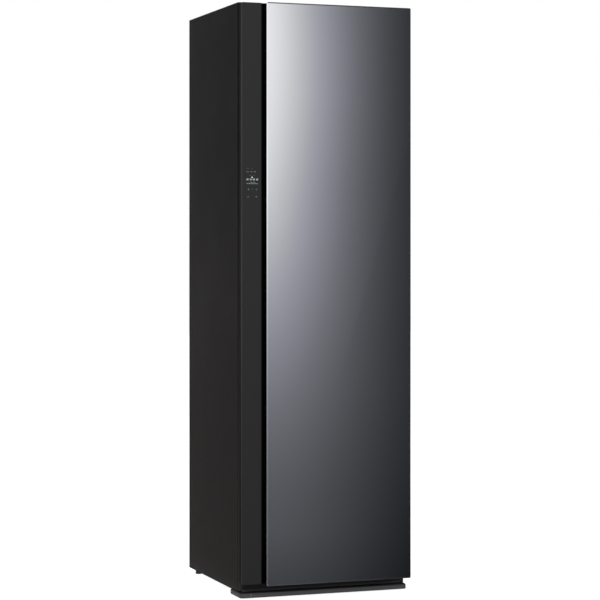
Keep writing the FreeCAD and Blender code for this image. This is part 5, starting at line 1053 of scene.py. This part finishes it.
class STEAM_CABINET_OT_screen(bpy.types.Operator):
    """Weave the lint filter's screen from fine threads"""

    bl_idname = "steam_cabinet.screen"
    bl_label = "Lint screen"

    def execute(self, context):
        settings = context.scene.steam_cabinet.chamber
        low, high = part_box("lint_filter")
        half, z_low, z_high = 0.098, 0.3625, 0.396
        thread, pitch = settings.thread, settings.thread_pitch
        middle = (low[1] + high[1]) / 2
        nylon = surface("screen_nylon", (0.55, 0.56, 0.57), 0.45)
        ends = (nylon, "filter", "grille_plastic")
        shape = bmesh.new()
        add_block(shape, (-thread / 2, -0.0009, z_low), (thread / 2, -0.0009 + thread, z_high))
        along = ((pitch, 0, 0), int(2 * half / pitch))
        repeated("screen_uprights", shape, (-half, middle, 0), along, ONCE, *ends)
        shape = bmesh.new()
        add_block(shape, (-half, -0.0013, -thread / 2), (half, -0.0013 + thread, thread / 2))
        up = ((0, 0, pitch), int((z_high - z_low) / pitch))
        repeated("screen_levels", shape, (0, middle, z_low + pitch / 2), ONCE, up, *ends)
        return {"FINISHED"}


class STEAM_CABINET_OT_tanks(bpy.types.Operator):
    """Finish the tank bay, the tanks and their lids, and print the level marks"""

    bl_idname = "steam_cabinet.tanks"
    bl_label = "Water tanks"

    def execute(self, context):
        dress("tank_bay filter_housing", surface("bay_plastic", (0.075, 0.075, 0.078), 0.5, grain=1300.0))
        milky = {"mottle": 0.03, "relief": 0.00001}
        tank = surface("tank_plastic", (0.34, 0.4, 0.46), 0.28, detail=water_line, **milky)
        dress("supply_tank drain_tank", tank)
        lid = surface("lid_plastic", (0.033, 0.033, 0.035), 0.45, grain=1300.0)
        dress("supply_tank_lid drain_tank_lid", lid)
        ink = surface("level_ink", (0.75, 0.78, 0.8), 0.5)
        for body in ("supply", "drain"):
            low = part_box(f"{body}_tank")[0]
            x, face = low[0] + 0.022, low[1]
            ends = (ink, body, "tank_plastic")
            tick = bmesh.new()
            add_block(tick, (0, -0.00015, 0), (0.009, 0.0001, 0.0009))
            repeated(f"{body}_ticks", tick, (x, face, low[2] + 0.03), ONCE, ((0, 0, 0.02), 9), *ends)
            numbers = bmesh.new()
            for step, digit in enumerate("1234"):
                bars = digit_bars(digit, x + 0.012, low[2] + 0.0465 + 0.04 * step, 0.008, 0.0011)
                add_bars(numbers, bars, face - 0.00015, face + 0.0001)
            piece_from(f"{body}_level_numbers", numbers, *ends)
        return {"FINISHED"}


# ---------------------------------------------------------------- machine


def cast_skin(net, place, parts):
    """Rough skin of a die casting."""
    parts["height"] = net.noise(place, 260.0, 5.0)


def board_traces(net, place, parts):
    """Grey tray, green board with copper lines under its mask, and black parts on it."""
    low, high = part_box("main_board")
    x, y, z = net.split(place)
    half = [(high[side] - low[side]) / 2 - 0.0031 for side in (0, 1)]
    middle = [(high[side] + low[side]) / 2 for side in (0, 1)]
    inside = x.band(middle[0], half[0], 0.0001) * y.band(middle[1], half[1], 0.0001)
    edge = net.cells(net.stretched(place, (1.0, 0.5, 1.0)), 90.0, "DISTANCE_TO_EDGE")
    board = net.mix(edge.above(0.06, 0.03), (0.05, 0.16, 0.07, 1.0), parts["colour"])
    fitted = net.mix(z.above(low[2] + 0.0081, 0.0001), board, (0.015, 0.015, 0.016, 1.0))
    parts["colour"] = net.mix(inside * z.above(low[2] + 0.0058, 0.0001), (0.42, 0.42, 0.41, 1.0), fitted)


def hose_or_copper(net, place, parts):
    """Drawn copper right of the fan, and a milky steam hose left of it."""
    hose = 1.0 - net.split(place)[0].above(0.04, 0.002)
    parts["colour"] = net.mix(hose, parts["colour"], (0.5, 0.5, 0.48, 1.0))
    parts["metal"] = 0.9 - hose * 0.9
    parts["rough"] = parts["rough"] + hose * 0.2


class STEAM_CABINET_OT_machine(bpy.types.Operator):
    """Finish the heat pump, the fan, the boiler, the tubes and the board"""

    bl_idname = "steam_cabinet.machine"
    bl_label = "Machine parts"

    def execute(self, context):
        settings = context.scene.steam_cabinet.machine
        plastic = surface("machine_plastic", (0.052, 0.052, 0.055), 0.5, grain=1200.0)
        dress("fan_housing impeller exchanger_tray", plastic)
        plated = surface("plated_can", (0.42, 0.42, 0.43), 0.3, 0.9, detail=brushed)
        dress("fan_motor drive_motor water_pump rack_guides", plated)
        enamel = {"mottle": 0.2, "Coat Weight": 0.4}
        dress("compressor", surface("compressor_enamel", (0.006, 0.006, 0.006), 0.28, **enamel))
        fins = surface("fin_aluminium", (0.6, 0.61, 0.62), 0.35, 0.9, detail=brushed)
        dress("heat_exchangers", fins)
        cast = surface("cast_aluminium", (0.42, 0.42, 0.43), 0.5, 0.85, relief=0.0003, detail=cast_skin)
        dress("steam_generator", cast)
        tubes = surface("copper_tube", settings.copper, 0.3, mottle=0.2, broad=30.0, detail=hose_or_copper)
        dress("pipework", tubes)
        dress("main_board", surface("board_mask", (0.012, 0.075, 0.03), 0.4, detail=board_traces))
        dress("crank_wheel motor_wheel", surface("wheel_acetal", (0.72, 0.72, 0.68), 0.4, mottle=0.03))
        dress("drive_belt", surface("belt_rubber", (0.012, 0.012, 0.012), 0.7, mottle=0.2))
        self.add_fins(settings, fins)
        return {"FINISHED"}

    def add_fins(self, settings, fins):
        """Thin fins between the coarse ones of both heat exchangers."""
        low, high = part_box("heat_exchangers")
        half, thin, depth, end = 0.113, 0.0004, 0.0365, 0.001
        shape = bmesh.new()
        add_block(shape, (0, 0, low[2] + end), (thin, depth, high[2] - end))
        start = (-half, low[1] + 0.0008, 0)
        along = (((2 * half - thin) / (settings.fin_count - 1), 0, 0), settings.fin_count)
        back = ((0, high[1] - low[1] - 0.038, 0), 2)
        repeated("thin_fins", shape, start, along, back, fins, "cabinet", "fin_aluminium")


# ---------------------------------------------------------------- add-on

OPERATORS = (
    STEAM_CABINET_OT_studio,
    STEAM_CABINET_OT_casing,
    STEAM_CABINET_OT_door,
    STEAM_CABINET_OT_marks,
    STEAM_CABINET_OT_chamber,
    STEAM_CABINET_OT_screen,
    STEAM_CABINET_OT_tanks,
    STEAM_CABINET_OT_machine,
)


class STEAM_CABINET_PT_sidebar(bpy.types.Panel):
    """Buttons and settings of the cabinet"""

    bl_idname = "STEAM_CABINET_PT_sidebar"
    bl_label = "Steam Cabinet"
    bl_space_type = "VIEW_3D"
    bl_region_type = "UI"
    bl_category = "Steam Cabinet"

    def draw(self, context):
        for operator in OPERATORS:
            self.layout.operator(operator.bl_idname)
        settings = context.scene.steam_cabinet
        for group in ("studio", "casing", "door", "chamber", "machine"):
            part = getattr(settings, group)
            box = self.layout.box()
            box.label(text=group.capitalize())
            for name in part.__annotations__:
                box.prop(part, name)


CLASSES = (
    StudioSettings,
    CasingSettings,
    DoorSettings,
    ChamberSettings,
    MachineSettings,
    CabinetSettings,
    *OPERATORS,
    STEAM_CABINET_PT_sidebar,
)


def register():
    for item in CLASSES:
        bpy.utils.register_class(item)
    bpy.types.Scene.steam_cabinet = PointerProperty(type=CabinetSettings)


def unregister():
    del bpy.types.Scene.steam_cabinet
    for item in reversed(CLASSES):
        bpy.utils.unregister_class(item)


def main():
    """Build the looks in order."""
    register()
    for operator in OPERATORS:
        getattr(bpy.ops.steam_cabinet, operator.bl_idname.split(".")[1])()


if __name__ == "__main__":
    main()
